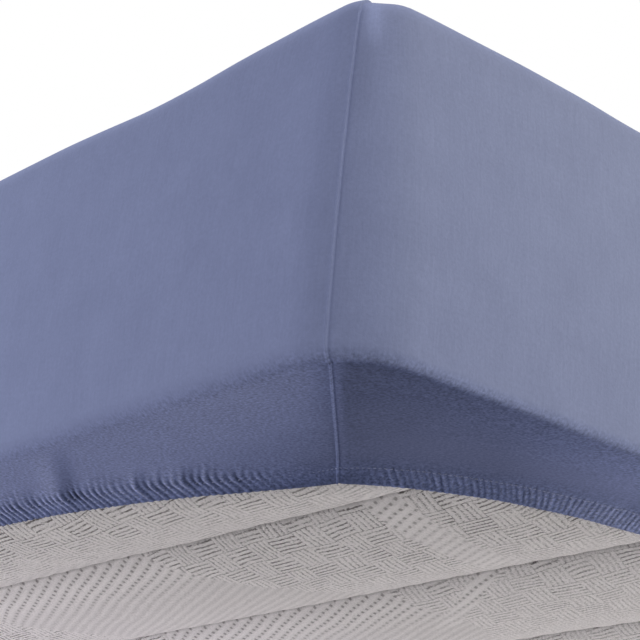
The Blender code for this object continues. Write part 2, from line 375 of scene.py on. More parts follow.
@dataclass
class Gathers:
    """The small slanting ridges of the gathered hem, and the larger folds among them, with their
    painted light and shade.
    """

    hem: Hem
    folds: tuple[Fold, ...] = ()
    seed: int = 5
    unevenness: float = 0.16
    weakest: float = 0.55
    reach_range: Pair = (0.5, 1.3)
    straight: float = 5 * MM
    bend: float = 5 * MM
    turn_over: float = 0.15
    corner_slant_end: float = 0.09
    corner_slant_fade: float = 0.06
    least_grown: float = 0.04
    edge_share: float = 0.4
    edge_ease: float = 8 * MM
    # How wide the painted shade along the hem's very edge is.
    brink: float = 4.5 * MM
    skew: float = 0.85
    sharpness: float = 1.2
    # Painted highlight on each ridge's crest and painted shade in its valley: where they lie and
    # how strong they are.
    crest: Pair = (0.40, 0.14)
    valley: Pair = (0.86, 0.20)
    valley_start: float = 0.10
    crest_painted_highlight: float = 0.64
    valley_painted_shade: float = 0.55
    # Where the casing's painted light fades out, as a share of its width.
    casing_fade: float = 0.6
    lip_at: float = 1.9
    lip_height: float = 0.45
    # How light a fold's lip is painted, as a share of its trough's painted shade.
    lip_painted_light: float = 0.5
    fold_start: float = 0.2
    fold_ease: float = 1.1
    edges: list[np.ndarray] = field(default_factory=list, init=False)
    sizes: list[np.ndarray] = field(default_factory=list, init=False)
    reaches: list[np.ndarray] = field(default_factory=list, init=False)

    def __post_init__(self) -> None:
        """Lay out the ridges of each side, unevenly."""
        rng = np.random.default_rng(self.seed)
        for line, half in zip(self.hem.lines, self.hem.outline.half_run):
            length = 2 * half
            count = round(length / line.pitch)
            steps = 1 + self.unevenness * rng.uniform(-1, 1, count)
            self.edges.append(np.concatenate([[0], np.cumsum(steps)]) * length / steps.sum())
            self.sizes.append(rng.uniform(self.weakest, 1.0, count))
            self.reaches.append(rng.uniform(*self.reach_range, count) * line.ridge_reach)

    def from_corner(self, number: int, along: np.ndarray) -> np.ndarray:
        """How far places along a side lie past the hem's nearer corner."""
        near = np.minimum(along, 2 * self.hem.outline.half_run[number] - along)
        return near - self.hem.lines[number].corner_run

    def leaning(self, number: int, along: np.ndarray, from_hem: np.ndarray,
                casing: np.ndarray) -> np.ndarray:
        """Follow the slant of the ridges out to the hem's edge.

        Args:
            number: the side's number.
            along: how far along the side each point lies.
            from_hem: its distance from the hem's edge.
            casing: the width of the folded hem there.

        Returns:
            Where along the edge the ridge through each point ends.
        """
        line = self.hem.lines[number]
        near = self.from_corner(number, along)
        by_corner = 1 - smooth((near - self.corner_slant_end) / self.corner_slant_fade)
        leaning = from_hem - casing - self.straight
        beyond = (leaning + np.sqrt(leaning**2 + self.bend**2)) / 2
        slant = line.far_slant + (line.corner_slant - line.far_slant) * by_corner
        sideways = line.slant * beyond + slant * np.minimum(from_hem, casing)
        middle = self.hem.outline.half_run[number]
        return along - np.tanh((along - middle) / self.turn_over) * sideways

    def ridges(self, number: int, near: np.ndarray, at: np.ndarray, from_hem: np.ndarray,
               casing: np.ndarray) -> tuple[np.ndarray, np.ndarray]:
        """The ridges of one side.

        Args:
            number: the side's number.
            near: how far past the hem's nearer corner each point lies.
            at: where along the edge its ridge ends.
            from_hem: its distance from the hem's edge.
            casing: the width of the folded hem there.

        Returns:
            The height of the ridges, and a factor of painted light and shade.
        """
        line, edges, sizes = self.hem.lines[number], self.edges[number], self.sizes[number]
        ridge = np.clip(np.searchsorted(edges, at) - 1, 0, len(sizes) - 1)
        part = np.clip((at - edges[ridge]) / (edges[ridge + 1] - edges[ridge]), 0, 1)
        fall = 1 - smooth((from_hem - casing) / self.reaches[number][ridge])
        grown = smooth((near - line.calm) / line.fade_in)
        grown = self.least_grown + (1 - self.least_grown) * grown
        size = sizes[ridge] * fall * grown
        edge = self.edge_share + (1 - self.edge_share) * smooth(from_hem / self.edge_ease)
        height = line.ridge * size * edge * np.sin(np.pi * part**self.skew) ** self.sharpness
        # Painted highlight on the crest and painted shade in the valley, as a factor of the cloth's
        # colour.
        crest = bell(part, *self.crest) * edge
        valley = bell(part, *self.valley) + bell(part, 0.0, self.valley_start)
        light = self.crest_painted_highlight * crest - self.valley_painted_shade * valley
        light = 1 + line.contrast * size * light
        # Painted light on the casing, fading out above it.
        past_fade = (from_hem / casing - self.casing_fade) / self.casing_fade
        light *= 1 + (line.casing_painted_light - 1) * (1 - smooth(past_fade)) * grown
        # Painted shade along the hem's very edge.
        light *= 1 + (line.edge_painted_shade - 1) * bell(from_hem, 0.0, self.brink)
        return height, light

    def fold(self, fold: Fold, at: np.ndarray, from_hem: np.ndarray,
             casing: np.ndarray) -> tuple[np.ndarray, np.ndarray]:
        """One larger fold.

        Args:
            fold: the fold.
            at: where along the edge the cloth of each point ends.
            from_hem: its distance from the hem's edge.
            casing: the width of the folded hem there.

        Returns:
            How far it stands down, less than zero in its trough, and its painted shading: painted
            shade in the trough, painted light on its lip.
        """
        across = (at - fold.run) / fold.half_width
        trough, lip = bell(across, 0.0, 1.0), bell(across, -self.lip_at, 1.0)
        grown = smooth((from_hem / casing - self.fold_start) / self.fold_ease)
        deep = (1 - smooth(from_hem / fold.reach)) * grown
        height = fold.depth * (self.lip_height * lip - trough) * deep
        # Painted shade in the trough and painted light on the lip.
        return height, fold.dark * (self.lip_painted_light * lip - trough) * deep

    def form(self, walk: Walk, plan: np.ndarray, from_hem: np.ndarray,
             casing: np.ndarray) -> tuple[np.ndarray, np.ndarray]:
        """How far the ridges and folds stand down from the cloth, and their painted light and
        shade.

        Args:
            walk: the stations.
            plan: the plan points of the row.
            from_hem: each point's distance from the hem's edge.
            casing: the width of the folded hem there.

        Returns:
            The height at each station, less than zero in a fold's trough, and a factor of painted
            light and shade.
        """
        height, light = np.zeros(walk.count), np.ones(walk.count)
        for side in Side:
            number = side.value
            here = np.nonzero(walk.side == number)[0]
            along = plan[here] @ ALONG[number] + self.hem.outline.half_run[number]
            in_from_edge, fold_width = from_hem[here], casing[here]
            at = self.leaning(number, along, in_from_edge, fold_width)
            near = self.from_corner(number, along)
            down, shade = self.ridges(number, near, at, in_from_edge, fold_width)
            for fold in self.folds:
                if fold.side is side:
                    more_down, more_shade = self.fold(fold, at, in_from_edge, fold_width)
                    down += more_down
                    shade += more_shade
            height[here], light[here] = down, shade
        return height, light


@dataclass(frozen=True)
class Dip:
    """A place where a top edge sinks: its side, its middle along that side, depth and reach."""

    side: Side
    middle: float
    depth: float
    reach: float


DIPS = (
    Dip(Side.SOUTH, 1.785, 6.3 * MM, 0.084),
    Dip(Side.SOUTH, 1.260, 2.2 * MM, 0.150),
    Dip(Side.SOUTH, 0.700, 3.4 * MM, 0.120),
    Dip(Side.SOUTH, 0.250, 2.6 * MM, 0.090),
    Dip(Side.EAST, 0.020, 3.0 * MM, 0.035),
    Dip(Side.EAST, 0.274, 6.1 * MM, 0.065),
    Dip(Side.EAST, 0.720, 2.0 * MM, 0.110),
    Dip(Side.NORTH, 0.260, 3.2 * MM, 0.110),
    Dip(Side.NORTH, 0.880, 2.0 * MM, 0.160),
    Dip(Side.NORTH, 1.520, 3.8 * MM, 0.120),
    Dip(Side.WEST, 0.320, 2.4 * MM, 0.100),
    Dip(Side.WEST, 0.640, 1.4 * MM, 0.090),
)


@dataclass(frozen=True)
class Rise:
    """A bell-shaped rise, or a hollow where its height is less than zero."""

    height: float
    middle: float
    width: float

    def at(self, x: np.ndarray) -> np.ndarray:
        """The rise at each place."""
        return self.height * bell(x, self.middle, self.width)


@dataclass(frozen=True)
class PaintedPatch:
    """A soft patch of painted light beside a seam, painted shade where its rise is below zero: its
    rise across it, and its height.
    """

    across: Rise
    below: float
    half_height: float

    def at(self, distance: np.ndarray, below_top: np.ndarray) -> np.ndarray:
        """What it adds to the painted light at each place, less than zero for painted shade."""
        return self.across.at(distance) * bell(below_top, self.below, self.half_height)


@dataclass(frozen=True)
class Ripples:
    """A soft unevenness, the sum of a few waves through space."""

    longest: float
    shortest: float
    depth: float
    seed: int
    waves: int = 14

    def at(self, points: np.ndarray) -> np.ndarray:
        """The displacement at each point, within the stated depth either way."""
        rng = np.random.default_rng(self.seed)
        total = np.zeros(len(points))
        for _ in range(self.waves):
            wavelength = math.exp(rng.uniform(math.log(self.shortest), math.log(self.longest)))
            direction = rng.normal(size=3)
            direction /= np.linalg.norm(direction)
            phase = rng.uniform(0, 2 * math.pi)
            share = wavelength / self.longest
            total += share * np.sin(points @ direction * (2 * math.pi / wavelength) + phase)
        return self.depth * total / math.sqrt(self.waves)


def mesh_object(name: str, points: np.ndarray, faces: list[list[int]]) -> bpy.types.Object:
    """Link a new smooth mesh object at the origin."""
    mesh = bpy.data.meshes.new(name)
    mesh.from_pydata(points.tolist(), [], faces)
    mesh.shade_smooth()
    mesh.update()
    thing = bpy.data.objects.new(name, mesh)
    bpy.context.scene.collection.objects.link(thing)
    return thing


@dataclass
class Loft:
    """Closed rows of points, joined into one closed mesh that carries its cut-out layout."""

    outline: Outline
    points: list[np.ndarray] = field(default_factory=list)
    walks: list[Walk] = field(default_factory=list)
    down: list[np.ndarray] = field(default_factory=list)
    painted_shading: list[np.ndarray] = field(default_factory=list)
    flat: list[bool] = field(default_factory=list)

    def add(self, walk: Walk, points: np.ndarray, down: np.ndarray | float,
            painted_shading: np.ndarray | float = 1.0, flat: bool = False) -> None:
        """Add one row.

        Args:
            walk: its stations.
            points: one point for each.
            down: how far down the cut panel the row lies, from the top edge.
            painted_shading: the painted light and shade of the cloth there, as a factor of its own
                colour.
            flat: whether the row belongs to the top panel, which is laid out by x and y.
        """
        self.walks.append(walk)
        self.points.append(points)
        self.down.append(np.broadcast_to(down, walk.count))
        self.painted_shading.append(np.broadcast_to(painted_shading, walk.count))
        self.flat.append(flat)

    def row_faces(self, row: int) -> list[list[tuple[int, int]]]:
        """The faces between a row and the next, each corner as its row and station."""
        here, after = self.walks[row].count, self.walks[row + 1].count
        below = row + 1
        faces = []
        if here == after:
            for i in range(here):
                faces.append([(row, i), (below, i), (below, i + 1), (row, i + 1)])
        elif after == 2 * here:
            for i in range(here):
                first, middle, last = 2 * i, 2 * i + 1, 2 * i + 2
                faces.append([(row, i), (below, first), (below, middle)])
                faces.append([(row, i), (below, middle), (row, i + 1)])
                faces.append([(row, i + 1), (below, middle), (below, last)])
        else:
            for i in range(after):
                first, middle, last = 2 * i, 2 * i + 1, 2 * i + 2
                faces.append([(row, first), (below, i), (row, middle)])
                faces.append([(row, middle), (below, i), (below, i + 1)])
                faces.append([(row, middle), (below, i + 1), (row, last)])
        return faces

    def build(self, name: str) -> bpy.types.Object:
        """Make the mesh object, with both ends closed and a UV map named cut, in metres."""
        starts = np.cumsum([0] + [walk.count for walk in self.walks])
        lengths = 2 * self.outline.half_run
        faces, layout = [], []
        for row in range(len(self.walks) - 1):
            planar = self.flat[row] and self.flat[row + 1]
            for face in self.row_faces(row):
                first_row, first_station = face[0]
                first_walk = self.walks[first_row]
                face_side = first_walk.side[first_station % first_walk.count]
                loop = []
                for at_row, station in face:
                    walk = self.walks[at_row]
                    station_in = station % walk.count
                    loop.append(int(starts[at_row] + station_in))
                    if planar:
                        x, y, _ = self.points[at_row][station_in]
                        layout.append((x, y))
                    else:
                        same = walk.side[station_in] == face_side
                        share = walk.share[station_in] if same else 1.0
                        layout.append((share * lengths[face_side], -self.down[at_row][station_in]))
                faces.append(loop)
        for at_row, order in ((0, 1), (len(self.walks) - 1, -1)):
            loop = list(range(starts[at_row], starts[at_row + 1]))[::order]
            faces.append(loop)
            layout += [tuple(p[:2]) for p in self.points[at_row][::order]]
        thing = mesh_object(name, np.concatenate(self.points), faces)
        uv = thing.data.uv_layers.new(name="cut")
        uv.data.foreach_set("uv", np.array(layout, np.float32).ravel())
        # A point attribute of painted light and shade, which the jersey multiplies into its colour.
        painted_shading = thing.data.attributes.new("painted_shading", "FLOAT", "POINT")
        painted_shading.data.foreach_set("value", np.concatenate(self.painted_shading).astype(np.float32))
        return thing


class Graph:
    """A material's node tree, built up by short calls."""

    def __init__(self, name: str) -> None:
        """Start a material whose surface is one Principled shader."""
        self.material = bpy.data.materials.new(name)
        self.material.use_nodes = True
        self.tree = self.material.node_tree
        self.shader = self.tree.nodes["Principled BSDF"]

    def add(self, kind: str, **settings: object) -> bpy.types.Node:
        """Add a node and set its own properties."""
        node = self.tree.nodes.new(kind)
        for name, value in settings.items():
            setattr(node, name, value)
        return node

    def feed(self, value: object, socket: Socket) -> None:
        """Link a socket, or set a constant."""
        if isinstance(value, Socket):
            self.tree.links.new(value, socket)
        else:
            socket.default_value = value

    def surface(self, values: dict[str, object]) -> None:
        """Feed inputs of the surface shader, by name."""
        for name, value in values.items():
            self.feed(value, self.shader.inputs[name])

    def space(self) -> Socket:
        """The piece's own coordinates, in metres."""
        return self.add("ShaderNodeTexCoord").outputs["Object"]

    def math(self, operation: str, a: object, b: object = 0.0, c: object = 0.0) -> Socket:
        """The result of one Math node."""
        node = self.add("ShaderNodeMath", operation=operation)
        for value, socket in zip((a, b, c), node.inputs):
            self.feed(value, socket)
        return node.outputs[0]

    def plus(self, a: object, b: object) -> Socket:
        """One value added to another."""
        return self.math("ADD", a, b)

    def times(self, a: object, b: object) -> Socket:
        """One value times another."""
        return self.math("MULTIPLY", a, b)

    def line(self, value: object, gain: object, offset: object) -> Socket:
        """A value times a gain, with an offset added."""
        return self.math("MULTIPLY_ADD", value, gain, offset)

    def rest(self, value: object) -> Socket:
        """What a value leaves of 1."""
        return self.math("SUBTRACT", 1.0, value)

    def centred(self, value: object) -> Socket:
        """A value of 0 to 1 brought to lie about zero."""
        return self.math("SUBTRACT", value, 0.5)

    def wave(self, place: object, pitch: float) -> Socket:
        """A cosine wave along a coordinate."""
        return self.math("COSINE", self.times(place, 2 * math.pi / pitch))

    def ease(self, value: object, low: float, high: float) -> Socket:
        """A smooth step from 0 at low to 1 at high."""
        node = self.add("ShaderNodeMapRange", interpolation_type="SMOOTHSTEP")
        self.feed(value, node.inputs["Value"])
        node.inputs["From Min"].default_value = low
        node.inputs["From Max"].default_value = high
        return node.outputs["Result"]

    def noise(self, source: Socket, per_metre: Triple | float, detail: float = 1.0,
              rough: float = 0.5, turn: float = 0.0) -> Socket:
        """Noise on coordinates that are turned about Z.

        Args:
            source: the coordinates.
            per_metre: how many grains lie in a metre, along each axis or along all.
            detail: how many finer layers it has.
            rough: how strong they are.
            turn: how far the coordinates are turned.

        Returns:
            The noise, from 0 to 1.
        """
        place = self.add("ShaderNodeMapping")
        self.feed(source, place.inputs["Vector"])
        scale = per_metre if isinstance(per_metre, tuple) else (per_metre,) * 3
        place.inputs["Scale"].default_value = scale
        place.inputs["Rotation"].default_value = (0.0, 0.0, turn)
        node = self.add("ShaderNodeTexNoise")
        self.feed(place.outputs["Vector"], node.inputs["Vector"])
        node.inputs["Scale"].default_value = 1.0
        node.inputs["Detail"].default_value = detail
        node.inputs["Roughness"].default_value = rough
        return node.outputs["Fac"]

    def mix(self, fac: object, a: object, b: object) -> Socket:
        """A mix of two colours."""
        node = self.add("ShaderNodeMix", data_type="RGBA")
        self.feed(fac, node.inputs["Factor"])
        for value, name in ((a, "A"), (b, "B")):
            socket = next(s for s in node.inputs if s.name == name and s.type == "RGBA")
            self.feed((*value, 1.0) if isinstance(value, tuple) else value, socket)
        return next(s for s in node.outputs if s.type == "RGBA")

    def vector(self, operation: str, a: Socket, b: Socket, second: int | str = 1) -> Socket:
        """The result of one Vector Math node, with b at the input named second."""
        node = self.add("ShaderNodeVectorMath", operation=operation)
        self.feed(a, node.inputs[0])
        self.feed(b, node.inputs[second])
        return node.outputs[0]

    def scale(self, colour: Socket, share: Socket) -> Socket:
        """A colour made lighter or darker."""
        return self.vector("SCALE", colour, share, "Scale")

    def split(self, source: Socket) -> list[Socket]:
        """The x, y and z of a vector."""
        node = self.add("ShaderNodeSeparateXYZ")
        self.feed(source, node.inputs[0])
        return list(node.outputs)

    def bump(self, height: Socket, distance: float, strength: float = 1.0,
             under: Socket | None = None) -> Socket:
        """A normal bent by a height of the given depth in metres."""
        node = self.add("ShaderNodeBump")
        self.feed(height, node.inputs["Height"])
        node.inputs["Distance"].default_value = distance
        node.inputs["Strength"].default_value = strength
        if under is not None:
            self.feed(under, node.inputs["Normal"])
        return node.outputs["Normal"]


@dataclass(frozen=True)
class JerseyFinish:
    """Matt knitted cotton: soft upright streaks of the wales, flecks, a mottle and a little nap."""

    name: str = "blue_jersey"
    light: Colour = (0.251, 0.291, 0.509)
    dark: Colour = (0.197, 0.229, 0.410)
    shade_range: Pair = (0.55, 1.45)
    knit_shade: Pair = (0.7, 0.45)
    mottle_shade: float = 0.4
    mottle_per_metre: float = 28.0
    # Tints of the painted shading under the mattress: bluer in deep painted shade, warmer in strong
    # painted light.
    painted_deep_shade_tint: Colour = (0.95, 1.02, 1.14)
    painted_under_light_tint: Colour = (1.03, 1.01, 0.94)
    tint_range: Pair = (0.65, 1.60)
    under_range: Pair = (5.4 * MM, 18 * MM)
    wales_per_metre: float = 520.0
    streak_length: float = 30 * MM
    courses_per_metre: float = 416.0
    course_length: float = 25 * MM
    grain_per_metre: float = 1500.0
    streak_weight: float = 0.56
    course_weight: float = 0.16
    grain_weight: float = 0.28
    waver_per_metre: float = 60.0
    waver: float = 4 * MM
    fleck_per_metre: float = 470.0
    side_fleck: float = 0.18
    under_fleck: float = 1.9
    fleck_relief: float = 0.5
    fine_roughness: float = 0.6
    wrinkle_per_metre: float = 150.0
    crumple: float = 0.30 * MM
    relief: float = 0.20 * MM
    roughness: float = 0.92
    specular: float = 0.03
    sheen: float = 0.02
    sheen_roughness: float = 0.6

    def knit(self, g: Graph, space: Socket) -> Socket:
        """The height of the knit, 0 to 1: wavering wales, courses and grain."""
        cut = g.add("ShaderNodeUVMap", uv_map="cut").outputs["UV"]
        waver = g.noise(space, self.waver_per_metre, detail=2.0)
        bent = g.vector("ADD", cut, g.times(g.centred(waver), self.waver))
        wales = (self.wales_per_metre, 1 / self.streak_length, 1.0)
        streaks = g.noise(bent, wales, 3.0, self.fine_roughness)
        courses = g.noise(bent, (1 / self.course_length, self.courses_per_metre, 1.0), detail=2.0)
        grain = g.noise(space, self.grain_per_metre)
        knit = g.plus(g.times(streaks, self.streak_weight), g.times(courses, self.course_weight))
        return g.plus(knit, g.times(grain, self.grain_weight))

    def make(self) -> bpy.types.Material:
        """Build the material."""
        g = Graph(self.name)
        space = g.space()
        knit = self.knit(g, space)
        mottle = g.noise(space, self.mottle_per_metre, detail=3.0)
        fleck = g.noise(space, self.fleck_per_metre, 1.5, self.fine_roughness)
        shade = g.plus(g.line(knit, *self.knit_shade), g.times(mottle, self.mottle_shade))
        colour = g.mix(g.ease(shade, *self.shade_range), self.dark, self.light)
        _, _, z = g.split(space)
        upright = g.ease(z, *self.under_range)
        gain = g.line(upright, self.side_fleck - self.under_fleck, self.under_fleck)
        flecked = g.line(g.centred(fleck), gain, 1.0)
        # The attribute read here is the sheet's painted light and shade, multiplied into the
        # colour.
        painted_shading = g.add("ShaderNodeAttribute", attribute_name="painted_shading").outputs["Fac"]
        colour = g.scale(colour, g.times(painted_shading, flecked))
        # Under the mattress the colour is bluer in deep painted shade and warmer in strong painted
        # light.
        under = g.mix(g.ease(painted_shading, *self.tint_range), self.painted_deep_shade_tint, self.painted_under_light_tint)
        colour = g.vector("MULTIPLY", colour, g.mix(upright, under, (1.0, 1.0, 1.0)))
        g.surface({"Base Color": colour})
        wrinkle = g.noise(space, self.wrinkle_per_metre, detail=2.0)
        soft = g.bump(g.plus(wrinkle, g.times(fleck, self.fleck_relief)), self.crumple)
        g.surface({"Normal": g.bump(knit, self.relief, under=soft), "Roughness": self.roughness,
                   "Specular IOR Level": self.specular, "Sheen Weight": self.sheen,
                   "Sheen Roughness": self.sheen_roughness})
        return g.material


@dataclass(frozen=True)
class ThreadFinish:
    """Matt sewing thread, a little lighter than the jersey, with the twist of its plies."""

    name: str = "blue_thread"
    light: Colour = (0.500, 0.550, 0.800)
    dark: Colour = (0.340, 0.380, 0.600)
    plies_per_metre: float = 1600.0
    relief: float = 0.06 * MM
    roughness: float = 0.8
    specular: float = 0.1

    def make(self) -> bpy.types.Material:
        """Build the material."""
        g = Graph(self.name)
        x, y, z = g.split(g.space())
        lay = g.plus(g.plus(x, y), z)
        wave = g.math("SINE", g.times(lay, 2 * math.pi * self.plies_per_metre))
        ply = g.line(wave, 0.5, 0.5)
        g.surface({"Base Color": g.mix(ply, self.dark, self.light)})
        g.surface({"Normal": g.bump(ply, self.relief), "Roughness": self.roughness,
                   "Specular IOR Level": self.specular})
        return g.material


@dataclass(frozen=True)
class Strip:
    """A narrow dotted strip of the ticking, in one channel.

    Attributes:
        at: where its middle crosses Y = 0, along X.
        lean: how far it moves along X for each metre of Y.
        half: half its width along X.
        start: where it starts along Y.
        end: where it ends.
    """

    at: float
    lean: float
    half: float
    start: float
    end: float


@dataclass(frozen=True)
class TickingFinish:
    """Off-white knitted ticking: slanting blocks of ribs beside bands of soft dotted ribs.

    The phase of a place is how far it lies from one sewn line, 0, to the next, 1. What ends in
    range or phases is where something starts and where it is whole, and what ends in line is a
    gain and an offset.

    Attributes:
        plain: how near to the crests' colour the smooth cloth is.
        block: the edge of a block.
        ribs: how many ribs a block has.
        lie: the way that one set of ribs runs from +X.
        cross: the way that the other set runs.
        warps: the grains to the metre and the reach of the noises that draw the pattern askew.
        band_rib: the distance between the soft ribs of a band.
        band_turn: the way that they run from +X.
        dot_step: the distance between the dots in their valleys, along X.
        wide: where a wide band starts, is whole, starts to fade and is gone, along X.
        margin: how far before the first sewn line a wide band starts and is whole.
        repeat: after how far along X the bands come again.
        strips: the narrow bands.
        first_line: where the first sewn line lies along Y.
        line_pitch: the distance between sewn lines.
        painted_flank_shade: how much darker the cloth is painted just past a sewn line, as painted
            shade.
    """

    name: str = "quilted_ticking"
    pale: Colour = (1.0, 0.963, 0.966)
    shade: Colour = (0.18, 0.165, 0.16)
    plain: float = 0.76
    block: float = 31 * MM
    ribs: int = 5
    lie: float = math.radians(-5)
    cross: float = math.radians(113)
    cross_line: Pair = (0.74, 0.14)
    crest_line: Pair = (0.44, 0.12)
    gap_range: Pair = (0.0, 0.30)
    crest_range: Pair = (0.30, 0.95)
    gap_depth: float = 0.98
    break_per_metre: float = 90.0
    break_range: Pair = (0.22, 0.58)
    patch_per_metre: float = 24.0
    patch_range: Pair = (0.36, 0.56)
    patchy: float = 0.4
    calm_phases: Pair = (0.45, 0.97)
    calm_share: float = 0.72
    calm_range: Pair = (-0.12, 0.04)
    calm_inwards: float = 0.5
    warps: tuple[Pair, Pair] = ((38.0, 3 * MM), (9.0, 20 * MM))
    warp_turns: Pair = (0.7, 2.1)
    band_warp: float = 0.45
    band_rib: float = 9.0 * MM
    band_turn: float = math.radians(-24.5)
    rib_tone: float = 0.16
    dot_step: float = 9.6 * MM
    dot_across: Pair = (0.15, 0.95)
    dot_along: Pair = (-0.1, 0.8)
    dot_line: Pair = (-0.52, 0.09)
    dot_phases: Pair = (0.14, 0.48)
    strip_dots: float = 0.35
    strip_tone: float = 0.06
    wide: tuple[float, float, float, float] = (0.240, 0.252, 0.553, 0.565)
    sway: float = 45 * MM
    sway_pitch: float = 0.5
    sway_phase: float = 0.4 * math.pi
    ragged: float = 30 * MM
    ragged_per_metre: float = 45.0
    margin: Pair = (30 * MM, 5 * MM)
    repeat: float = 0.80
    strips: tuple[Strip, ...] = (
        Strip(0.723, -0.25, 17 * MM, -0.25, -0.045),
        Strip(0.645, -1.5, 12 * MM, -0.05, 0.07),
    )
    strip_edge: float = 6 * MM
    strip_start: float = 10 * MM
    strip_end: float = 20 * MM
    first_line: float = -0.225
    line_pitch: float = 0.190
    painted_flank_shade: float = 0.13
    flank_phases: Pair = (-0.03, 0.16)
    # Painted shade in a thin line at each sewn line, and the phases over which it fades.
    sewn: float = 0.25
    sewn_phases: Pair = (0.004, 0.020)
    grain_per_metre: float = 620.0
    grain_line: Pair = (2.4, 0.8)
    roughness: float = 0.85
    specular: float = 0.2
    relief: float = 0.9 * MM
    relief_strength: float = 0.8

    def warped(self, g: Graph, space: Socket, share: float) -> list[Socket]:
        """The x and y of the pattern, drawn out of true a little as a knit is."""
        x, y, _ = g.split(space)
        result = []
        for axis, turn in zip((x, y), self.warp_turns):
            noises = [g.noise(space, per_metre, turn=turn) for per_metre, _ in self.warps]
            pushes = [g.times(noise, reach * share)
                      for noise, (_, reach) in zip(noises, self.warps)]
            result.append(g.plus(axis, g.plus(*pushes)))
        return result

    def blocks(self, g: Graph, x: Socket, y: Socket) -> Socket:
        """The height of the ribs of the blocks, 0 to 1."""
        apart = math.sin(self.cross - self.lie)
        a = g.plus(g.times(x, math.sin(self.cross) / apart),
                   g.times(y, -math.cos(self.cross) / apart))
        b = g.plus(g.times(x, -math.sin(self.lie) / apart),
                   g.times(y, math.cos(self.lie) / apart))
        cells = [g.math("FLOOR", g.math("DIVIDE", axis, self.block)) for axis in (a, b)]
        odd = g.math("PINGPONG", g.plus(*cells), 1.0)
        lying, crossing = [g.line(g.wave(axis, self.block / self.ribs), -0.5, 0.5)
                           for axis in (b, a)]
        crossing = g.line(crossing, *self.cross_line)
        even = g.rest(odd)
        return g.plus(g.times(lying, even), g.times(crossing, odd))

    def band(self, g: Graph, x: Socket, y: Socket) -> tuple[Socket, Socket]:
        """The height of the soft slanting ribs, and the dots in their valleys, each 0 to 1."""
        c, s = math.cos(self.band_turn), math.sin(self.band_turn)
        across = g.plus(g.times(x, -s), g.times(y, c))
        wave = g.wave(across, self.band_rib)
        rib = g.line(wave, -0.5, 0.5)
        step = g.wave(x, self.dot_step)
        return rib, g.times(g.ease(wave, *self.dot_across), g.ease(step, *self.dot_along))

    def wide_band(self, g: Graph, space: Socket) -> Socket:
        """How far each place lies in a wide band, 0 to 1."""
        x, y, _ = g.split(space)
        sway = g.math("SINE", g.line(y, 2 * math.pi / self.sway_pitch, self.sway_phase))
        ragged = g.times(g.noise(space, self.ragged_per_metre), self.ragged)
        at = g.plus(g.line(sway, -self.sway, x), ragged)
        at = g.math("FLOORED_MODULO", at, self.repeat)
        inside = g.times(g.ease(at, *self.wide[:2]), g.rest(g.ease(at, *self.wide[2:])))
        before, whole = self.margin
        return g.times(inside, g.ease(y, self.first_line - before, self.first_line - whole))

    def strip(self, g: Graph, space: Socket, strip: Strip) -> Socket:
        """How far each place lies in a narrow strip, 0 to 1."""
        x, y, _ = g.split(space)
        middle = g.line(y, strip.lean, strip.at)
        away = g.math("SUBTRACT", g.math("FLOORED_MODULO", x, self.repeat), middle)
        away = g.math("ABSOLUTE", away)
        inside = g.rest(g.ease(away, strip.half, strip.half + self.strip_edge))
        inside = g.times(inside, g.ease(y, strip.start, strip.start + self.strip_start))
        after = g.ease(y, strip.end - self.strip_end, strip.end)
        return g.times(inside, g.rest(after))

    def strength(self, g: Graph, space: Socket, y: Socket, phase: Socket) -> Socket:
        """How strong the blocks are: patchy, and calmer across a channel and along Y."""
        patchy = g.ease(g.noise(space, self.patch_per_metre), *self.patch_range)
        strength = g.line(patchy, self.patchy, 1 - self.patchy)
        calmer = g.rest(g.times(g.ease(phase, *self.calm_phases), self.calm_share))
        inwards = g.line(g.ease(y, *self.calm_range), -self.calm_inwards, 1.0)
        return g.times(strength, g.times(calmer, inwards))

    def woven(self, g: Graph, space: Socket) -> Socket:
        """The level of the blocks: light crests, and gaps that are dark here and there; the knit's
        own pattern, partly painted shade in the gaps and painted highlight on the crests.
        """
        weave = self.blocks(g, *self.warped(g, space, 1.0))
        broken = g.ease(g.noise(space, self.break_per_metre), *self.break_range)
        gap = g.times(g.rest(g.ease(weave, *self.gap_range)), broken)
        crest = g.line(g.ease(weave, *self.crest_range), *self.crest_line)
        return g.math("SUBTRACT", crest, g.times(gap, self.gap_depth))

    def banded(self, g: Graph, rib: Socket, dot: Socket, phase: Socket, thin: Socket) -> Socket:
        """The level of the bands: soft ribs, and dots that fade across a channel."""
        fading = g.rest(g.ease(phase, *self.dot_phases))
        dots_here = g.math("MAXIMUM", fading, g.times(thin, self.strip_dots))
        dotted = g.times(g.line(dot, *self.dot_line), dots_here)
        dotted = g.line(thin, self.strip_tone, dotted)
        return g.line(g.centred(rib), self.rib_tone, dotted)

    def make(self) -> bpy.types.Material:
        """Build the material."""
        g = Graph(self.name)
        space = g.space()
        _, y, _ = g.split(space)
        lines = g.math("DIVIDE", g.math("SUBTRACT", y, self.first_line), self.line_pitch)
        phase = g.math("FRACT", lines)
        wide = self.wide_band(g, space)
        thin = g.math("MAXIMUM", *[self.strip(g, space, strip) for strip in self.strips])
        in_band = g.math("MAXIMUM", wide, thin)
        in_blocks = g.rest(in_band)
        rib, dot = self.band(g, *self.warped(g, space, self.band_warp))
        strength = g.times(self.strength(g, space, y, phase), in_blocks)
        woven = self.woven(g, space)
        banded = self.banded(g, rib, dot, phase, thin)
        grain = g.centred(g.noise(space, self.grain_per_metre, detail=2.0))
        grain = g.times(grain, g.line(strength, *self.grain_line))
        level = g.line(banded, in_band, g.line(woven, strength, grain))
        level = g.plus(level, self.plain)
        colour = g.mix(level, self.shade, self.pale)
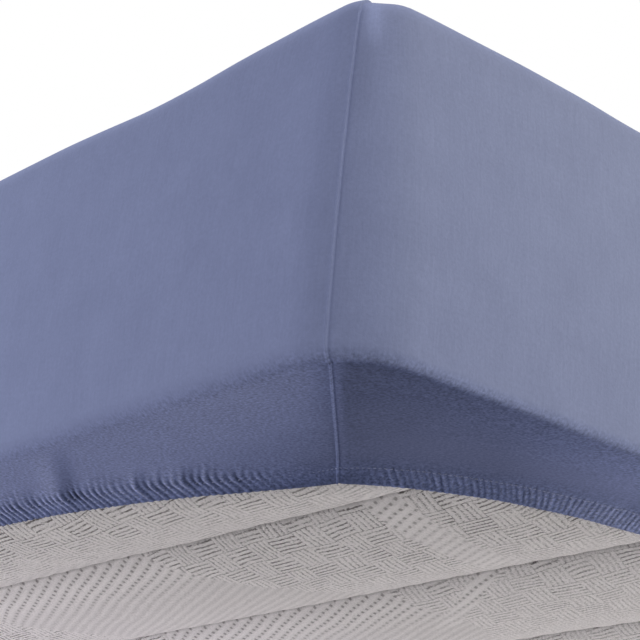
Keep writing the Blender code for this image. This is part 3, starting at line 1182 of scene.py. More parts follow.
        # Painted shade just past each sewn line and along it, taken off the colour.
        past, sewn = [g.rest(g.ease(phase, *phases))
                      for phases in (self.flank_phases, self.sewn_phases)]
        painted_line_shade = g.plus(g.times(past, self.painted_flank_shade), g.times(sewn, self.sewn))
        g.surface({"Base Color": g.scale(colour, g.rest(painted_line_shade))})
        g.surface({"Normal": g.bump(level, self.relief, self.relief_strength),
                   "Roughness": self.roughness, "Specular IOR Level": self.specular})
        return g.material


@dataclass(frozen=True)
class PaintedShade:
    """The painted light and shade of the cloth under the mattress, at a distance from a corner
    seam.
    """

    distance: float
    at_crease: float
    at_hem: float


@dataclass
class FittedSheet:
    """The jersey sheet, from the middle of its top to its gathered hem, as one closed skin.

    Attributes:
        seam_forms: a corner seam's lap, the groove beside it and the puff of the cloth past that.
        seam_crest: where the painted highlight on its crest lies and how wide it is.
        seam_angles: from which turn of the top edge a seam grows, and over how much more.
        painted_patches: the painted highlight beside the seen seam, and the painted shade below it.
        turn_delay: how much later the painted shade on the bottom edge sets in, near a seam.
        painted_light_place: where on the bottom edge the painted light is strongest, and how wide
            it is.
        top_insets: the rows of the top, by how far in they lie.
        wrap_rows: the rows before the gathers, by their share of the way and their fineness.
        fine_rows: the rows of the gathers, by their distance from the hem's edge in mm.
        upper_rows: the rows above them, by that distance and their fineness.
        hem_turn: the cloth that the folded hem takes; not used.
    """

    outline: Outline
    hem: Hem
    height: float
    dips: tuple[Dip, ...] = DIPS
    swell: Ripples = Ripples(longest=0.60, shortest=0.16, depth=0.9 * MM, seed=3)
    drag: Ripples = Ripples(longest=0.09, shortest=0.03, depth=0.22 * MM, seed=8)
    gathers: Gathers = field(init=False)
    cloth: float = 1.5 * MM
    waist: float = 3 * MM
    top_corner: float = 40 * MM
    top_roll: float = 24 * MM
    top_steps: int = 7
    edge_drop: float = 0.4 * MM
    dip_run_in: float = 0.15
    dip_at_side: float = 0.4
    side_rows: int = 11
    soft_roll: float = 14 * MM
    crisp_roll: float = 8 * MM
    roll_steps: int = 6
    soft_level: float = 10.5 * MM
    crisp_level: float = 9.0 * MM
    crisp_hollow: float = 4.0 * MM
    hollow_share: float = 0.7
    rim_level: float = 1.6 * MM
    rim_thickness: float = 3.0 * MM
    rim_reach: float = 0.95
    rim_ease: float = 12 * MM
    gather_start: float = 40 * MM
    least_level: float = 0.4 * MM
    pinch: Rise = Rise(0.15 * MM, 0.0, 1.6 * MM)
    # How much painted light lies along the pinch, on the short sides.
    pinch_painted_light: float = 0.16
    pinch_eased: float = 0.7
    seam_forms: tuple[Rise, ...] = (
        Rise(0.65 * MM, -0.7 * MM, 0.75 * MM),
        Rise(-0.30 * MM, 0.8 * MM, 0.8 * MM),
        Rise(0.25 * MM, 6 * MM, 4 * MM),
    )
    seam_crest: Pair = (-0.7 * MM, 0.8 * MM)
    seam_angles: Pair = (0.3, 0.8)
    # How strong the painted highlight on a seam's crest is, on the sides and under the mattress.
    side_seam_painted_highlight: float = 0.06
    under_seam_painted_highlight: float = 0.40
    # Painted highlight beside the seen seam near the top, and painted shade below it.
    painted_patches: tuple[PaintedPatch, ...] = (
        PaintedPatch(Rise(0.40, 15 * MM, 9 * MM), 22 * MM, 13 * MM),
        PaintedPatch(Rise(-0.08, 9 * MM, 10 * MM), 60 * MM, 26 * MM),
    )
    # Painted shading of the bottom edge: where the crease's painted shading sets in as the cloth
    # turns under, and a band of painted light along the edge.
    turn_start: float = 0.42
    turn_delay: Rise = Rise(0.33, 0.0, 90 * MM)
    roll_painted_light: float = 0.06
    short_painted_light: float = 0.05
    corner_painted_light: Rise = Rise(0.06, 0.0, 260 * MM)
    painted_light_place: Pair = (0.58, 0.26)
    top_insets: tuple[float, ...] = (0.42, 0.38, 0.32, 0.26, 0.20, 0.15, 0.11, 0.075, 0.05)
    wrap_rows: tuple[tuple[float, int], ...] = (
        (0.08, 1), (0.20, 2), (0.34, 2), (0.48, 2), (0.62, 4), (0.76, 4), (0.90, 4))
    fine_rows: tuple[float, ...] = (40, 33, 27, 22, 18, 15, 13, 11, 8, 5, 2.5, 0.8)
    upper_rows: tuple[tuple[float, int], ...] = ((1.5, 4), (14, 4), (30, 2))
    inner_shares: Pair = (0.7, 0.1)
    inner_roll_angles: tuple[float, ...] = (1.1, 0.5, 0.0)
    inner_top_angles: tuple[float, ...] = (math.pi / 2, 0.8, 0.0)
    inner_insets: tuple[float, ...] = (0.15, 0.30, 0.42)
    inner_clear: float = 1 * MM
    inner_down: float = 0.1
    inner_drop: float = 0.5 * MM
    inner_sag: float = 2.2 * MM
    hem_turn: float = 15 * MM
    fold_seed: int = 21
    fold_widths: Pair = (4 * MM, 7 * MM)
    fold_depths: Pair = (0.5 * MM, 1.1 * MM)
    fold_reaches: Pair = (34 * MM, 62 * MM)
    fold_gaps: Pair = (0.045, 0.115)
    # Painted light and shade under the mattress, along the long sides and the short ones, by
    # distance from a corner seam.
    long_painted_shades: tuple[PaintedShade, ...] = (
        PaintedShade(0.00, 0.80, 0.61),
        PaintedShade(0.03, 1.10, 0.66),
        PaintedShade(0.06, 1.19, 0.73),
        PaintedShade(0.09, 1.25, 0.80),
        PaintedShade(0.15, 1.26, 0.94),
        PaintedShade(0.20, 1.20, 1.12),
        PaintedShade(0.40, 1.22, 1.22),
    )
    short_painted_shades: tuple[PaintedShade, ...] = (
        PaintedShade(0.000, 0.86, 0.70),
        PaintedShade(0.006, 0.80, 0.68),
        PaintedShade(0.010, 0.52, 0.63),
        PaintedShade(0.060, 0.57, 0.71),
        PaintedShade(0.110, 0.64, 0.75),
        PaintedShade(0.160, 0.71, 0.72),
        PaintedShade(0.220, 0.92, 0.87),
        PaintedShade(0.300, 1.18, 1.06),
    )

    def __post_init__(self) -> None:
        """Lay out the gathers."""
        self.gathers = Gathers(self.hem, folds=self.folds())

    def folds(self) -> tuple[Fold, ...]:
        """The larger folds: those of the seen corner listed one by one, and scattered ones
        elsewhere.
        """
        length, width = self.outline.length, self.outline.width
        seen = [
            Fold(Side.SOUTH, length - 0.446, 4 * MM, 0.9 * MM, 70 * MM, 0.24),
            Fold(Side.SOUTH, length - 0.403, 9 * MM, 1.1 * MM, 150 * MM, 0.50),
            Fold(Side.SOUTH, length - 0.336, 4 * MM, 1.0 * MM, 66 * MM, 0.42),
            Fold(Side.SOUTH, length - 0.321, 4 * MM, 0.9 * MM, 46 * MM, 0.28),
            Fold(Side.SOUTH, length - 0.297, 7 * MM, 1.0 * MM, 60 * MM, 0.40),
            Fold(Side.SOUTH, length - 0.262, 3 * MM, 0.6 * MM, 34 * MM, 0.20),
            Fold(Side.EAST, 0.352, 6 * MM, 1.0 * MM, 44 * MM),
            Fold(Side.EAST, 0.395, 5 * MM, 0.9 * MM, 40 * MM),
        ]
        rng = np.random.default_rng(self.fold_seed)
        stretches = ((Side.SOUTH, 0.22, length - 0.50), (Side.NORTH, 0.22, length - 0.22),
                     (Side.EAST, 0.44, width - 0.20), (Side.WEST, 0.20, width - 0.20))
        for side, run, end in stretches:
            while run < end:
                form = [rng.uniform(*ends)
                        for ends in (self.fold_widths, self.fold_depths, self.fold_reaches)]
                seen.append(Fold(side, run, *form))
                run += rng.uniform(*self.fold_gaps)
        return tuple(seen)

    def dip(self, walk: Walk) -> np.ndarray:
        """How far the top edge sinks at each station."""
        run = self.outline.run(walk)
        total = np.zeros(walk.count)
        for dip in self.dips:
            here = walk.side == dip.side.value
            total[here] += dip.depth * bell(run[here], dip.middle, dip.reach)
        return total

    def dip_share(self, angle: float) -> float:
        """How much of a dip is left where the top edge has turned by an angle from straight up."""
        return self.dip_at_side + (1 - self.dip_at_side) * math.cos(angle)

    def corner_at(self, z: np.ndarray | float) -> float:
        """The corner radius at a height, as the mean over the row."""
        share = float(np.mean(z)) / self.height
        return self.outline.corner + (self.top_corner - self.outline.corner) * share

    def seam_across(self, points: np.ndarray, walk: Walk) -> np.ndarray:
        """How far each point of a row lies from the nearest corner seam.

        Args:
            points: the row's points.
            walk: its stations.

        Returns:
            The distances, more than zero on a short side and less on a long one.
        """
        steps = np.linalg.norm(np.roll(points, -1, axis=0) - points, axis=1)
        at = np.concatenate([[0], np.cumsum(steps)])
        whole, at = at[-1], at[:-1]
        nearest, on_long = np.full(walk.count, whole), walk.on_long
        for start in np.nonzero(np.roll(walk.side, 1) != walk.side)[0]:
            across = (at - at[start] + whole / 2) % whole - whole / 2
            if on_long[start]:
                across = -across
            closer = np.abs(across) < np.abs(nearest)
            nearest[closer] = across[closer]
        return nearest

    def seam_form(self, points: np.ndarray, walk: Walk) -> np.ndarray:
        """How far the narrow raised lap of the corner seams stands out at each point of a row."""
        across = self.seam_across(points, walk)
        return sum(form.at(across) for form in self.seam_forms)

    def seam_painted_highlight(self, points: np.ndarray, walk: Walk, gain: float) -> np.ndarray:
        """How much lighter the crest of the corner seams is painted, as painted highlight."""
        across = self.seam_across(points, walk)
        return 1 + gain * bell(across, *self.seam_crest)

    def painted_seam_patches(self, walk: Walk, z: np.ndarray | float) -> np.ndarray:
        """The painted highlight near the top of the seen seam, and the painted shade below it."""
        below_top = self.height - np.broadcast_to(z, walk.count)
        change = sum(mark.at(self.outline.run(walk), below_top) for mark in self.painted_patches)
        return 1 + np.where(walk.side == Side.EAST.value, change, 0.0)

    def row(self, walk: Walk, inset: np.ndarray | float, z: np.ndarray | float, angle: float,
            seam: float = 1.0) -> np.ndarray:
        """One row of the outer face.

        Args:
            walk: the stations.
            inset: how far the row is drawn in.
            z: its height.
            angle: how far its facing leans from straight up, 0, to straight down, pi.
            seam: the strength of the corner seams there.

        Returns:
            The row's points.
        """
        plan = self.outline.points(walk, inset, self.corner_at(z))
        base = np.column_stack([plan, np.broadcast_to(z, walk.count)])
        out = self.swell.at(base) + self.drag.at(base) * math.sin(angle)
        if seam:
            out = out + seam * self.seam_form(base, walk)
        facing = self.outline.facing(walk)
        lean = np.column_stack([facing * math.sin(angle), np.full(walk.count, math.cos(angle))])
        return base + lean * out[:, None]

    def roll_of(self, walk: Walk) -> tuple[np.ndarray, np.ndarray]:
        """The radius of the bottom edge at each station, and the level of the underside there."""
        long_share = self.outline.long_share(walk)
        radius = self.crisp_roll + (self.soft_roll - self.crisp_roll) * long_share
        level = self.crisp_level + (self.soft_level - self.crisp_level) * long_share
        return radius, level

    def painted_shading(self, walk: Walk, part: np.ndarray | float) -> np.ndarray:
        """The painted light and shade of the cloth under the mattress.

        Args:
            walk: the stations.
            part: how far each lies from the crease, 0, to the hem, 1.

        Returns:
            The painted light and shade at each station, as a factor of the cloth's colour.
        """
        distance = self.outline.from_seam(walk)
        result = np.ones(walk.count)
        for side in Side:
            here = walk.side == side.value
            painted_shades = self.long_painted_shades if side in LONG_SIDES else self.short_painted_shades
            knots = [painted_shading.distance for painted_shading in painted_shades]
            crease = np.interp(distance[here], knots, [painted_shading.at_crease for painted_shading in painted_shades])
            hem = np.interp(distance[here], knots, [painted_shading.at_hem for painted_shading in painted_shades])
            share = np.broadcast_to(part, walk.count)[here]
            result[here] = crease + (hem - crease) * smooth(share)
        return result

    def wrap_row(self, walk: Walk, from_hem: np.ndarray | float, upper: bool = False,
                 share: float | None = None) -> tuple[np.ndarray, np.ndarray, np.ndarray]:
        """One row of the cloth under the mattress.

        Args:
            walk: the stations.
            from_hem: the distance from the hem's edge.
            upper: whether the row is on the face that lies on the mattress.
            share: where the row lies between the crease, 0, and the start of the gathers, 1,
                in place of from_hem.

        Returns:
            The row's points, their distance from the crease, and the painted light and shade of the
            cloth there.
        """
        radius, level = self.roll_of(walk)
        crease = self.outline.points(walk, self.waist + radius, self.outline.corner)
        hem = self.hem.points(walk)
        inward = hem - crease
        whole = np.linalg.norm(inward, axis=1)
        if share is not None:
            from_hem = whole + (self.gather_start - whole) * share
        from_hem = np.broadcast_to(from_hem, walk.count)
        part = 1 - from_hem / whole
        plan = crease + inward * part[:, None]
        long_share = self.outline.long_share(walk)
        casing = self.hem.casing(walk)
        base = level + self.crisp_hollow * (1 - long_share) * smooth(part / self.hollow_share)
        reach = self.rim_reach * casing
        risen = (1 - np.exp(-from_hem / reach)) / (1 - np.exp(-self.gather_start / reach))
        z = self.rim_level + (base - self.rim_level) * np.minimum(risen, 1.0)
        light = self.painted_shading(walk, part)
        if upper:
            thick = 1 - smooth((from_hem - casing) / self.rim_ease)
            z = z + self.cloth + (self.rim_thickness - self.cloth) * thick
            return np.column_stack([plan, z]), whole - from_hem, light
        ridges, ridge_painted_shading = self.gathers.form(walk, plan, from_hem, casing)
        pinch = bell(from_hem - casing, self.pinch.middle, self.pinch.width)
        z = z - ridges + self.pinch.height * pinch * (1 - self.pinch_eased * long_share)
        # Painted light along the pinch beside the stitch line, on the short sides.
        ridge_painted_shading = ridge_painted_shading * (1 + self.pinch_painted_light * pinch * (1 - long_share))
        points = np.column_stack([plan, z])
        seam = self.seam_form(points, walk)
        # Painted highlight on the crest of the corner seams.
        light = light * ridge_painted_shading * self.seam_painted_highlight(points, walk, self.under_seam_painted_highlight)
        points[:, 2] = np.maximum(z - self.drag.at(points) - seam, self.least_level)
        return points, whole - from_hem, light

    def outer_rows(self, loft: Loft, walk: Walk) -> None:
        """The outer face, from the middle of the top to the crease under the edge."""
        dip = self.dip(walk)
        centre = self.height - self.edge_drop - self.top_roll
        edge_inset = self.waist + self.top_roll
        for inset in self.top_insets:
            fall = 1 - smooth((inset - edge_inset) / (self.dip_run_in - edge_inset))
            z = self.height - (self.edge_drop + dip) * fall
            loft.add(walk, self.row(walk, inset, z, 0.0, 0.0), edge_inset - inset, flat=True)
        for step in range(self.top_steps + 1):
            angle = math.pi / 2 * step / self.top_steps
            inset = self.waist + self.top_roll * (1 - math.sin(angle))
            z = centre + self.top_roll * math.cos(angle) - dip * self.dip_share(angle)
            start, growth = self.seam_angles
            seam = float(smooth((angle - start) / growth))
            # The painted patches beside the seen seam, as strong as the seam is here.
            painted_shading = 1 + (self.painted_seam_patches(walk, z) - 1) * seam
            loft.add(walk, self.row(walk, inset, z, angle, seam), self.top_roll * angle, painted_shading,
                     flat=step == 0)
        radius, level = self.roll_of(walk)
        high = centre - self.dip_at_side * dip
        low = level + radius
        at_side = self.top_roll * math.pi / 2
        for step in range(1, self.side_rows):
            part = step / self.side_rows
            z = high + (low - high) * part
            inset = self.waist * (2 * part - 1) ** 2
            points = self.row(walk, inset, z, math.pi / 2)
            # Painted highlight on the seam's crest, and the painted patches beside the seen seam.
            painted_shading = self.painted_seam_patches(walk, z) * self.seam_painted_highlight(points, walk, self.side_seam_painted_highlight)
            loft.add(walk, points, at_side + high - z, painted_shading)
        at_roll = at_side + high - low
        from_seam = self.outline.from_seam(walk)
        # Painted shading on the bottom edge: the crease's painted shading eases in as the cloth
        # turns under, later near the seams, with a band of painted light along the edge.
        start = self.turn_start + self.turn_delay.at(from_seam)
        most_glow = self.roll_painted_light + self.short_painted_light * (1 - self.outline.long_share(walk))
        most_glow = most_glow + self.corner_painted_light.at(from_seam)
        for step in range(self.roll_steps + 1):
            part = step / self.roll_steps
            angle = math.pi / 2 * step / self.roll_steps
            inset = self.waist + radius * (1 - math.cos(angle))
            z = low - radius * math.sin(angle)
            turned = smooth((part - start) / (1 - start))
            glow = most_glow * bell(part, *self.painted_light_place)
            painted_shading = (1 + (self.painted_shading(walk, 0.0) - 1) * turned) * (1 + glow)
            points = self.row(walk, inset, z, math.pi / 2 + angle)
            loft.add(walk, points, at_roll + radius * angle, painted_shading)

    def under_rows(self, loft: Loft, walks: dict[int, Walk]) -> None:
        """The underside, from the crease to the hem, with ever finer stations."""
        radius, _ = self.roll_of(walks[1])
        at_crease = float(self.height + np.mean(radius))
        for share, level in self.wrap_rows:
            points, down, painted_shading = self.wrap_row(walks[level], 0.0, share=share)
            loft.add(walks[level], points, at_crease + down, painted_shading)
        for from_hem in self.fine_rows:
            points, down, painted_shading = self.wrap_row(walks[8], from_hem * MM)
            loft.add(walks[8], points, at_crease + down, painted_shading)
        points, down, painted_shading = self.wrap_row(walks[8], 0.0)
        points[:, 2] = points[:, 2] + self.rim_thickness / 2
        loft.add(walks[8], points, at_crease + down, painted_shading)
        for from_hem, level in self.upper_rows:
            points, down, painted_shading = self.wrap_row(walks[level], from_hem * MM, upper=True)
            loft.add(walks[level], points, at_crease + down, painted_shading)

    def inner_rows(self, loft: Loft, walk: Walk) -> None:
        """The inner face, from under the mattress back up to the middle of the top."""
        for share in self.inner_shares:
            points, down, painted_shading = self.wrap_row(walk, 0.0, upper=True, share=share)
            loft.add(walk, points, self.height + down, painted_shading)
        radius, level = self.roll_of(walk)
        inner = radius - self.cloth
        for angle in self.inner_roll_angles:
            inset = self.waist + radius - inner * math.cos(angle)
            z = level + radius - inner * math.sin(angle)
            self.inner_row(loft, walk, inset, self.outline.corner, z, self.height)
        middle = self.height / 2
        inset = self.cloth + self.inner_clear
        self.inner_row(loft, walk, inset, self.corner_at(middle), middle, self.inner_down)
        inner_roll = self.top_roll - self.cloth
        centre = self.height - self.edge_drop - self.top_roll
        dip = self.dip(walk)
        for angle in self.inner_top_angles:
            inset = self.waist + self.top_roll - inner_roll * math.sin(angle)
            z = centre + inner_roll * math.cos(angle) - dip * self.dip_share(angle)
            self.inner_row(loft, walk, inset, self.top_corner, z - self.inner_drop)
        z = self.height - self.cloth - self.inner_sag
        for inset in self.inner_insets:
            self.inner_row(loft, walk, inset, self.top_corner, z, flat=True)

    def inner_row(self, loft: Loft, walk: Walk, inset: np.ndarray | float, corner: float,
                  z: np.ndarray | float, down: float = 0.0, flat: bool = False) -> None:
        """Add one row of the inner face.

        Args:
            loft: the rows so far.
            walk: the stations.
            inset: how far the row is drawn in.
            corner: the corner radius before it is drawn in.
            z: its height.
            down: how far down the cut panel it lies.
            flat: whether it belongs to the top panel.
        """
        plan = self.outline.points(walk, inset, corner)
        loft.add(walk, np.column_stack([plan, np.broadcast_to(z, walk.count)]), down, flat=flat)

    def build(self, finish: JerseyFinish) -> bpy.types.Object:
        """Loft the sheet and dress it."""
        walks = {1: self.outline.walk()}
        for level in (2, 4, 8):
            walks[level] = walks[level // 2].finer()
        LOG.info("stations: %s", [walk.count for walk in walks.values()])
        loft = Loft(self.outline)
        self.outer_rows(loft, walks[1])
        self.under_rows(loft, walks)
        self.inner_rows(loft, walks[1])
        sheet = loft.build("jersey_sheet")
        sheet.data.materials.append(finish.make())
        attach(sheet, "root")
        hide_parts("fitted_sheet")
        return sheet


@dataclass(frozen=True)
class Sewing:
    """The stitches of the hem: one small capsule for each, all joined.

    Attributes:
        pitch: the distance between stitches.
        half: half a stitch's length.
        radius: its radius.
        sides: how many sides it has.
        form: its rings, each by its place along the stitch and its share of the radius.
        sink: how far the stitches sink into the cloth, on the short sides and on the long ones.
        least: the lowest that the middle of a stitch lies.
        halvings: how often the stations of the outline are halved to find the line.
    """

    pitch: float = 3.8 * MM
    half: float = 1.25 * MM
    radius: float = 0.55 * MM
    sides: int = 5
    form: tuple[Pair, ...] = ((0.0, 0.55), (0.22, 1.0), (0.78, 1.0), (1.0, 0.55))
    sink: Pair = (0.15 * MM, 0.50 * MM)
    least: float = 0.7 * MM
    halvings: int = 3

    def line(self, maker: FittedSheet) -> np.ndarray:
        """The closed line of the stitches, along the casing."""
        walk = maker.outline.walk()
        for _ in range(self.halvings):
            walk = walk.finer()
        line, _, _ = maker.wrap_row(walk, maker.hem.casing(walk))
        short, long = self.sink
        sink = short + (long - short) * maker.outline.long_share(walk)
        line[:, 2] = np.maximum(line[:, 2] + sink, self.least)
        return np.concatenate([line, line[:1]])

    def build(self, maker: FittedSheet, finish: ThreadFinish) -> bpy.types.Object:
        """Sew the hem.

        Args:
            maker: the maker of the sheet.
            finish: the finish of the thread.

        Returns:
            The mesh object.
        """
        line = self.line(maker)
        at = np.concatenate([[0], np.cumsum(np.linalg.norm(np.diff(line, axis=0), axis=1))])
        count = round(at[-1] / self.pitch)
        middles = (np.arange(count) + 0.5) * at[-1] / count
        ends = [np.column_stack([np.interp(middles + shift, at, line[:, k]) for k in range(3)])
                for shift in (-self.half, self.half)]
        n = self.sides
        angles = np.arange(n) * 2 * math.pi / n
        points, faces = [], []
        for tail, head in zip(*ends):
            way = (head - tail) / np.linalg.norm(head - tail)
            across = np.cross(way, (0.0, 0.0, 1.0))
            across /= np.linalg.norm(across)
            upward = np.cross(way, across)
            ring = np.outer(np.cos(angles), across) + np.outer(np.sin(angles), upward)
            start = len(points)
            for part, share in self.form:
                points.extend(tail + (head - tail) * part + ring * self.radius * share)
            for row in range(start, start + (len(self.form) - 1) * n, n):
                for i in range(n):
                    a, b = row + i, row + (i + 1) % n
                    faces.append([a, a + n, b + n, b])
            faces.append(list(range(start, start + n)))
            faces.append(list(range(len(points) - 1, len(points) - 1 - n, -1)))
        thing = mesh_object("hem_stitches", np.array(points), faces)
        thing.data.materials.append(finish.make())
        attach(thing, "root")
        return thing


@dataclass
class QuiltedMattress:
    """The padded mattress, with sewn channels along its underside."""

    outline: Outline
    hem: Hem
    height: float
    dips: tuple[Dip, ...]
    clear: float = 2.6 * MM
    waist: float = 3 * MM
    roll: float = 26 * MM
    top_roll: float = 32 * MM
    edge_drop: float = 7 * MM
    margin_level: float = 15.8 * MM
    rim_level: float = 5.2 * MM
    rim_in: float = 34 * MM
    rim_out: float = 12 * MM
    channel_first: float = 0.225
    channel_pitch: float = 0.190
    channels: int = 3
    channel_depth: float = 9 * MM
    stitch_depth: float = 2.4 * MM
    stitch_width: float = 2.2 * MM
    stitch_power: float = 1.3
    stitch_tug: float = 0.2
    puff_power: float = 2.6
    tug_pitch: float = 31 * MM
    tug_sway: float = 3.0
    tug_drift: Pair = (9.0, 14.0)
    tug_height: float = 0.7 * MM
    tug_reach: float = 16 * MM
    tug_start: float = 5 * MM
    quilt_base: float = 1.0 * MM
    quilt_ripples: Ripples = Ripples(longest=0.22, shortest=0.06, depth=0.7 * MM, seed=17)
    rise_share: float = 0.965
    least_level: float = 0.3 * MM
    grid_inset: float = 45 * MM
    seen_step: float = 6 * MM
    far_step: float = 14 * MM
    cross_step: float = 7 * MM
    line_detail: tuple[float, ...] = (0.0, 0.8, 1.7, 2.8, 4.2, 6.0, 8.5, 12.0)
    line_zone: float = 12.5 * MM
    line_gap: float = 0.6 * MM
    least_gap: float = 3.5 * MM
    bevel: float = 0.3
    waist_clear: float = 1 * MM
    corner_clear: float = 6 * MM
    least_corner: float = 12 * MM
    top_inset: float = 0.15
    top_drop: float = 4.6 * MM
    dip_start: float = 0.06
    dip_ease: float = 0.09

    def lines_x(self) -> np.ndarray:
        """The grid's places along X, closer together in the seen half."""
        half = self.outline.length / 2 - self.grid_inset
        far = np.linspace(-half, 0.0, round(half / self.far_step), endpoint=False)
        return np.concatenate([far, np.linspace(0.0, half, round(half / self.seen_step) + 1)])

    def channel_lines(self) -> np.ndarray:
        """The places of the sewn lines across the mattress."""
        places = self.channel_first + self.channel_pitch * np.arange(self.channels)
        return places - self.outline.width / 2

    def lines_y(self) -> np.ndarray:
        """The grid's places along Y, closer together at the sewn lines."""
        half = self.outline.width / 2 - self.grid_inset
        places = [np.arange(-half, half, self.cross_step), [half]]
        near = np.array(self.line_detail) * MM
        lines = self.channel_lines()
        for line in lines:
            places.append(line + np.concatenate([-near[::-1], near[1:]]))
        merged = np.unique(np.round(np.concatenate(places), 6))
        keep = [merged[0]]
        for place in merged[1:]:
            at_line = np.min(np.abs(lines - place)) < self.line_zone
            if place - keep[-1] >= (self.line_gap if at_line else self.least_gap):
                keep.append(place)
        keep[-1] = half
        return np.array(keep)

    def level(self, x: np.ndarray, y: np.ndarray) -> np.ndarray:
        """The height of the underside at points of the plan."""
        lines = self.channel_lines()
        away = np.min(np.abs(y[:, None] - lines[None, :]), axis=1)
        half_pitch = self.channel_pitch / 2
        puff = self.channel_depth * np.clip(1 - away / half_pitch, 0, 1) ** self.puff_power
        drift_x, drift_y = self.tug_drift
        sway = self.tug_sway * np.sin(x * drift_x + y * drift_y)
        tug = 0.5 + 0.5 * np.sin(x * 2 * math.pi / self.tug_pitch + sway)
        sewn = self.stitch_depth * np.exp(-((away / self.stitch_width) ** self.stitch_power))
        sewn = sewn * (1 - self.stitch_tug + self.stitch_tug * tug)
        pulled = self.tug_height * tug * np.exp(-away / self.tug_reach)
        pulled = pulled * smooth(away / self.tug_start)
        quilt = self.quilt_base + puff + sewn + pulled
        quilt = quilt + self.quilt_ripples.at(np.column_stack([x, y, np.zeros(len(x))]))
        inside = self.hem.inside(x, y)
        edge = self.rim_level * np.clip(1 - inside / self.rim_in, 0, 1) ** 2
        within = np.sqrt(np.maximum(quilt, 0) ** 2 + edge**2)
        at_hem = np.maximum(self.rim_level, within)
        risen = 1 - np.exp(-np.maximum(-inside, 0.0) / self.rim_out)
        risen = np.minimum(risen / self.rise_share, 1.0)
        outside = at_hem + (self.margin_level - at_hem) * risen
        return np.maximum(np.where(inside > 0, within, outside), self.least_level)

    def build(self, finish: TickingFinish) -> bpy.types.Object:
        grid_x, grid_y = np.meshgrid(self.lines_x(), self.lines_y())
        x, y = grid_x.ravel(), grid_y.ravel()
        under = np.column_stack([x, y, self.level(x, y)])
        index = np.arange(len(under)).reshape(grid_x.shape)
        cells = [index[:-1, :-1], index[1:, :-1], index[1:, 1:], index[:-1, 1:]]
        faces = np.stack(cells, axis=-1).reshape(-1, 4).tolist()
        rim = np.concatenate([index[0, :], index[1:, -1], index[-1, -2::-1], index[-2:0:-1, 0]])
        points, last = [under], rim
        for number, ring in enumerate(self.rings(under[rim])):
            loop = len(under) + number * len(rim) + np.arange(len(rim))
            band = [last, np.roll(last, -1), np.roll(loop, -1), loop]
            faces += np.stack(band, axis=1).tolist()
            points.append(ring)
            last = loop
        faces.append(last.tolist())
        mattress = mesh_object("quilted_mattress", np.concatenate(points), faces)
        mattress.data.materials.append(finish.make())
        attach(mattress, "root")
        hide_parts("mattress")
        return mattress

    def rings(self, rim: np.ndarray) -> list[np.ndarray]:
        """The rows from the grid's edge round the sides to the top, hidden by the sheet."""
        half = np.array([self.outline.length, self.outline.width]) / 2
        share = rim[:, :2] / (half - self.grid_inset)
        bottom, edge = self.clear + self.waist, self.height - self.edge_drop
        plan = [
            (bottom + self.roll, self.margin_level),
            (bottom + self.roll * self.bevel, self.margin_level + self.roll * self.bevel),
            (bottom, self.margin_level + self.roll),
            (self.clear + self.waist_clear, self.height / 2),
            (bottom, edge - self.top_roll),
            (bottom + self.top_roll * self.bevel, edge - self.top_roll * self.bevel),
            (bottom + self.top_roll, edge),
            (self.top_inset, self.height - self.top_drop),
        ]
        result = []
        for number, (inset, z) in enumerate(plan):
            corner = max(self.outline.corner + self.corner_clear - inset, self.least_corner)
            flat = half - inset - corner
            scaled = share * (half - inset)
            core = np.clip(scaled, -flat, flat)
            away = scaled - core
            length = np.maximum(np.linalg.norm(away, axis=1), TINY)
            reach = np.maximum(np.abs(away).max(axis=1), TINY)
            points = core + away * (reach / length)[:, None]
            sunk = self.dip(points) * (number / len(plan)) ** 2
            result.append(np.column_stack([points, z - sunk]))
        return result

    def dip(self, points: np.ndarray) -> np.ndarray:
        """How far the top sinks near its edges, under the sheet's own dips."""
        total = np.zeros(len(points))
        for dip in self.dips:
            number = dip.side.value
            run = points @ ALONG[number] + self.outline.half_run[number]
            inward = self.outline.half_depth[number] - points @ OUTWARD[number]
            near = 1 - smooth((inward - self.dip_start) / self.dip_ease)
            total += dip.depth * near * bell(run, dip.middle, dip.reach)
        return total


def area_light(name: str, shape: str, size: float, power: float) -> bpy.types.Object:
    """Link a soft light that the camera doesn't see."""
    data = bpy.data.lights.new(name, "AREA")
    data.shape, data.size, data.energy = shape, size, power
    lamp = bpy.data.objects.new(name, data)
    lamp.visible_camera = False
    bpy.context.scene.collection.objects.link(lamp)
    return lamp


@dataclass(frozen=True)
class Softbox:
    """A square soft light that faces the seen corner, with a twin at the corner across from it.

    Attributes:
        name: its name.
        azimuth: the way it stands from the corner, in degrees round from -Y towards +X.
        elevation: how far above the corner it stands, in degrees.
        distance: how far from the corner it stands.
        size: its edge.
        power: its power in watts.
        colour: its colour.
    """

    name: str
    azimuth: float
    elevation: float
    distance: float
    size: float
    power: float
    colour: Colour = (1.0, 1.0, 1.0)

    def build(self, corner: Vector) -> None:
        """Set up the light and its twin.

        Args:
            corner: the middle of the seen corner.
        """
        a, e = math.radians(self.azimuth), math.radians(self.elevation)
        away = Vector((math.sin(a) * math.cos(e), -math.cos(a) * math.cos(e), math.sin(e)))
        place = corner + away * self.distance
        for turn, label in ((1, "near"), (-1, "far")):
            lamp = area_light(f"{self.name}_{label}", "SQUARE", self.size, self.power)
            lamp.data.color = self.colour
            lamp.location = (turn * place.x, turn * place.y, place.z)
            aim = Vector((-turn * away.x, -turn * away.y, -away.z))
            lamp.rotation_euler = aim.to_track_quat("-Z", "Y").to_euler()


@dataclass(frozen=True)
class Overhead:
    """A soft light above the middle, no wider than the top, so that it misses the sides."""

    height: float = 3.0
    length: float = 1.6
    width: float = 0.7
    power: float = 62.0

    def build(self) -> None:
        """Set up the light."""
        lamp = area_light("overhead", "RECTANGLE", self.length, self.power)
        lamp.data.size_y = self.width
        lamp.location = (0.0, 0.0, self.height)


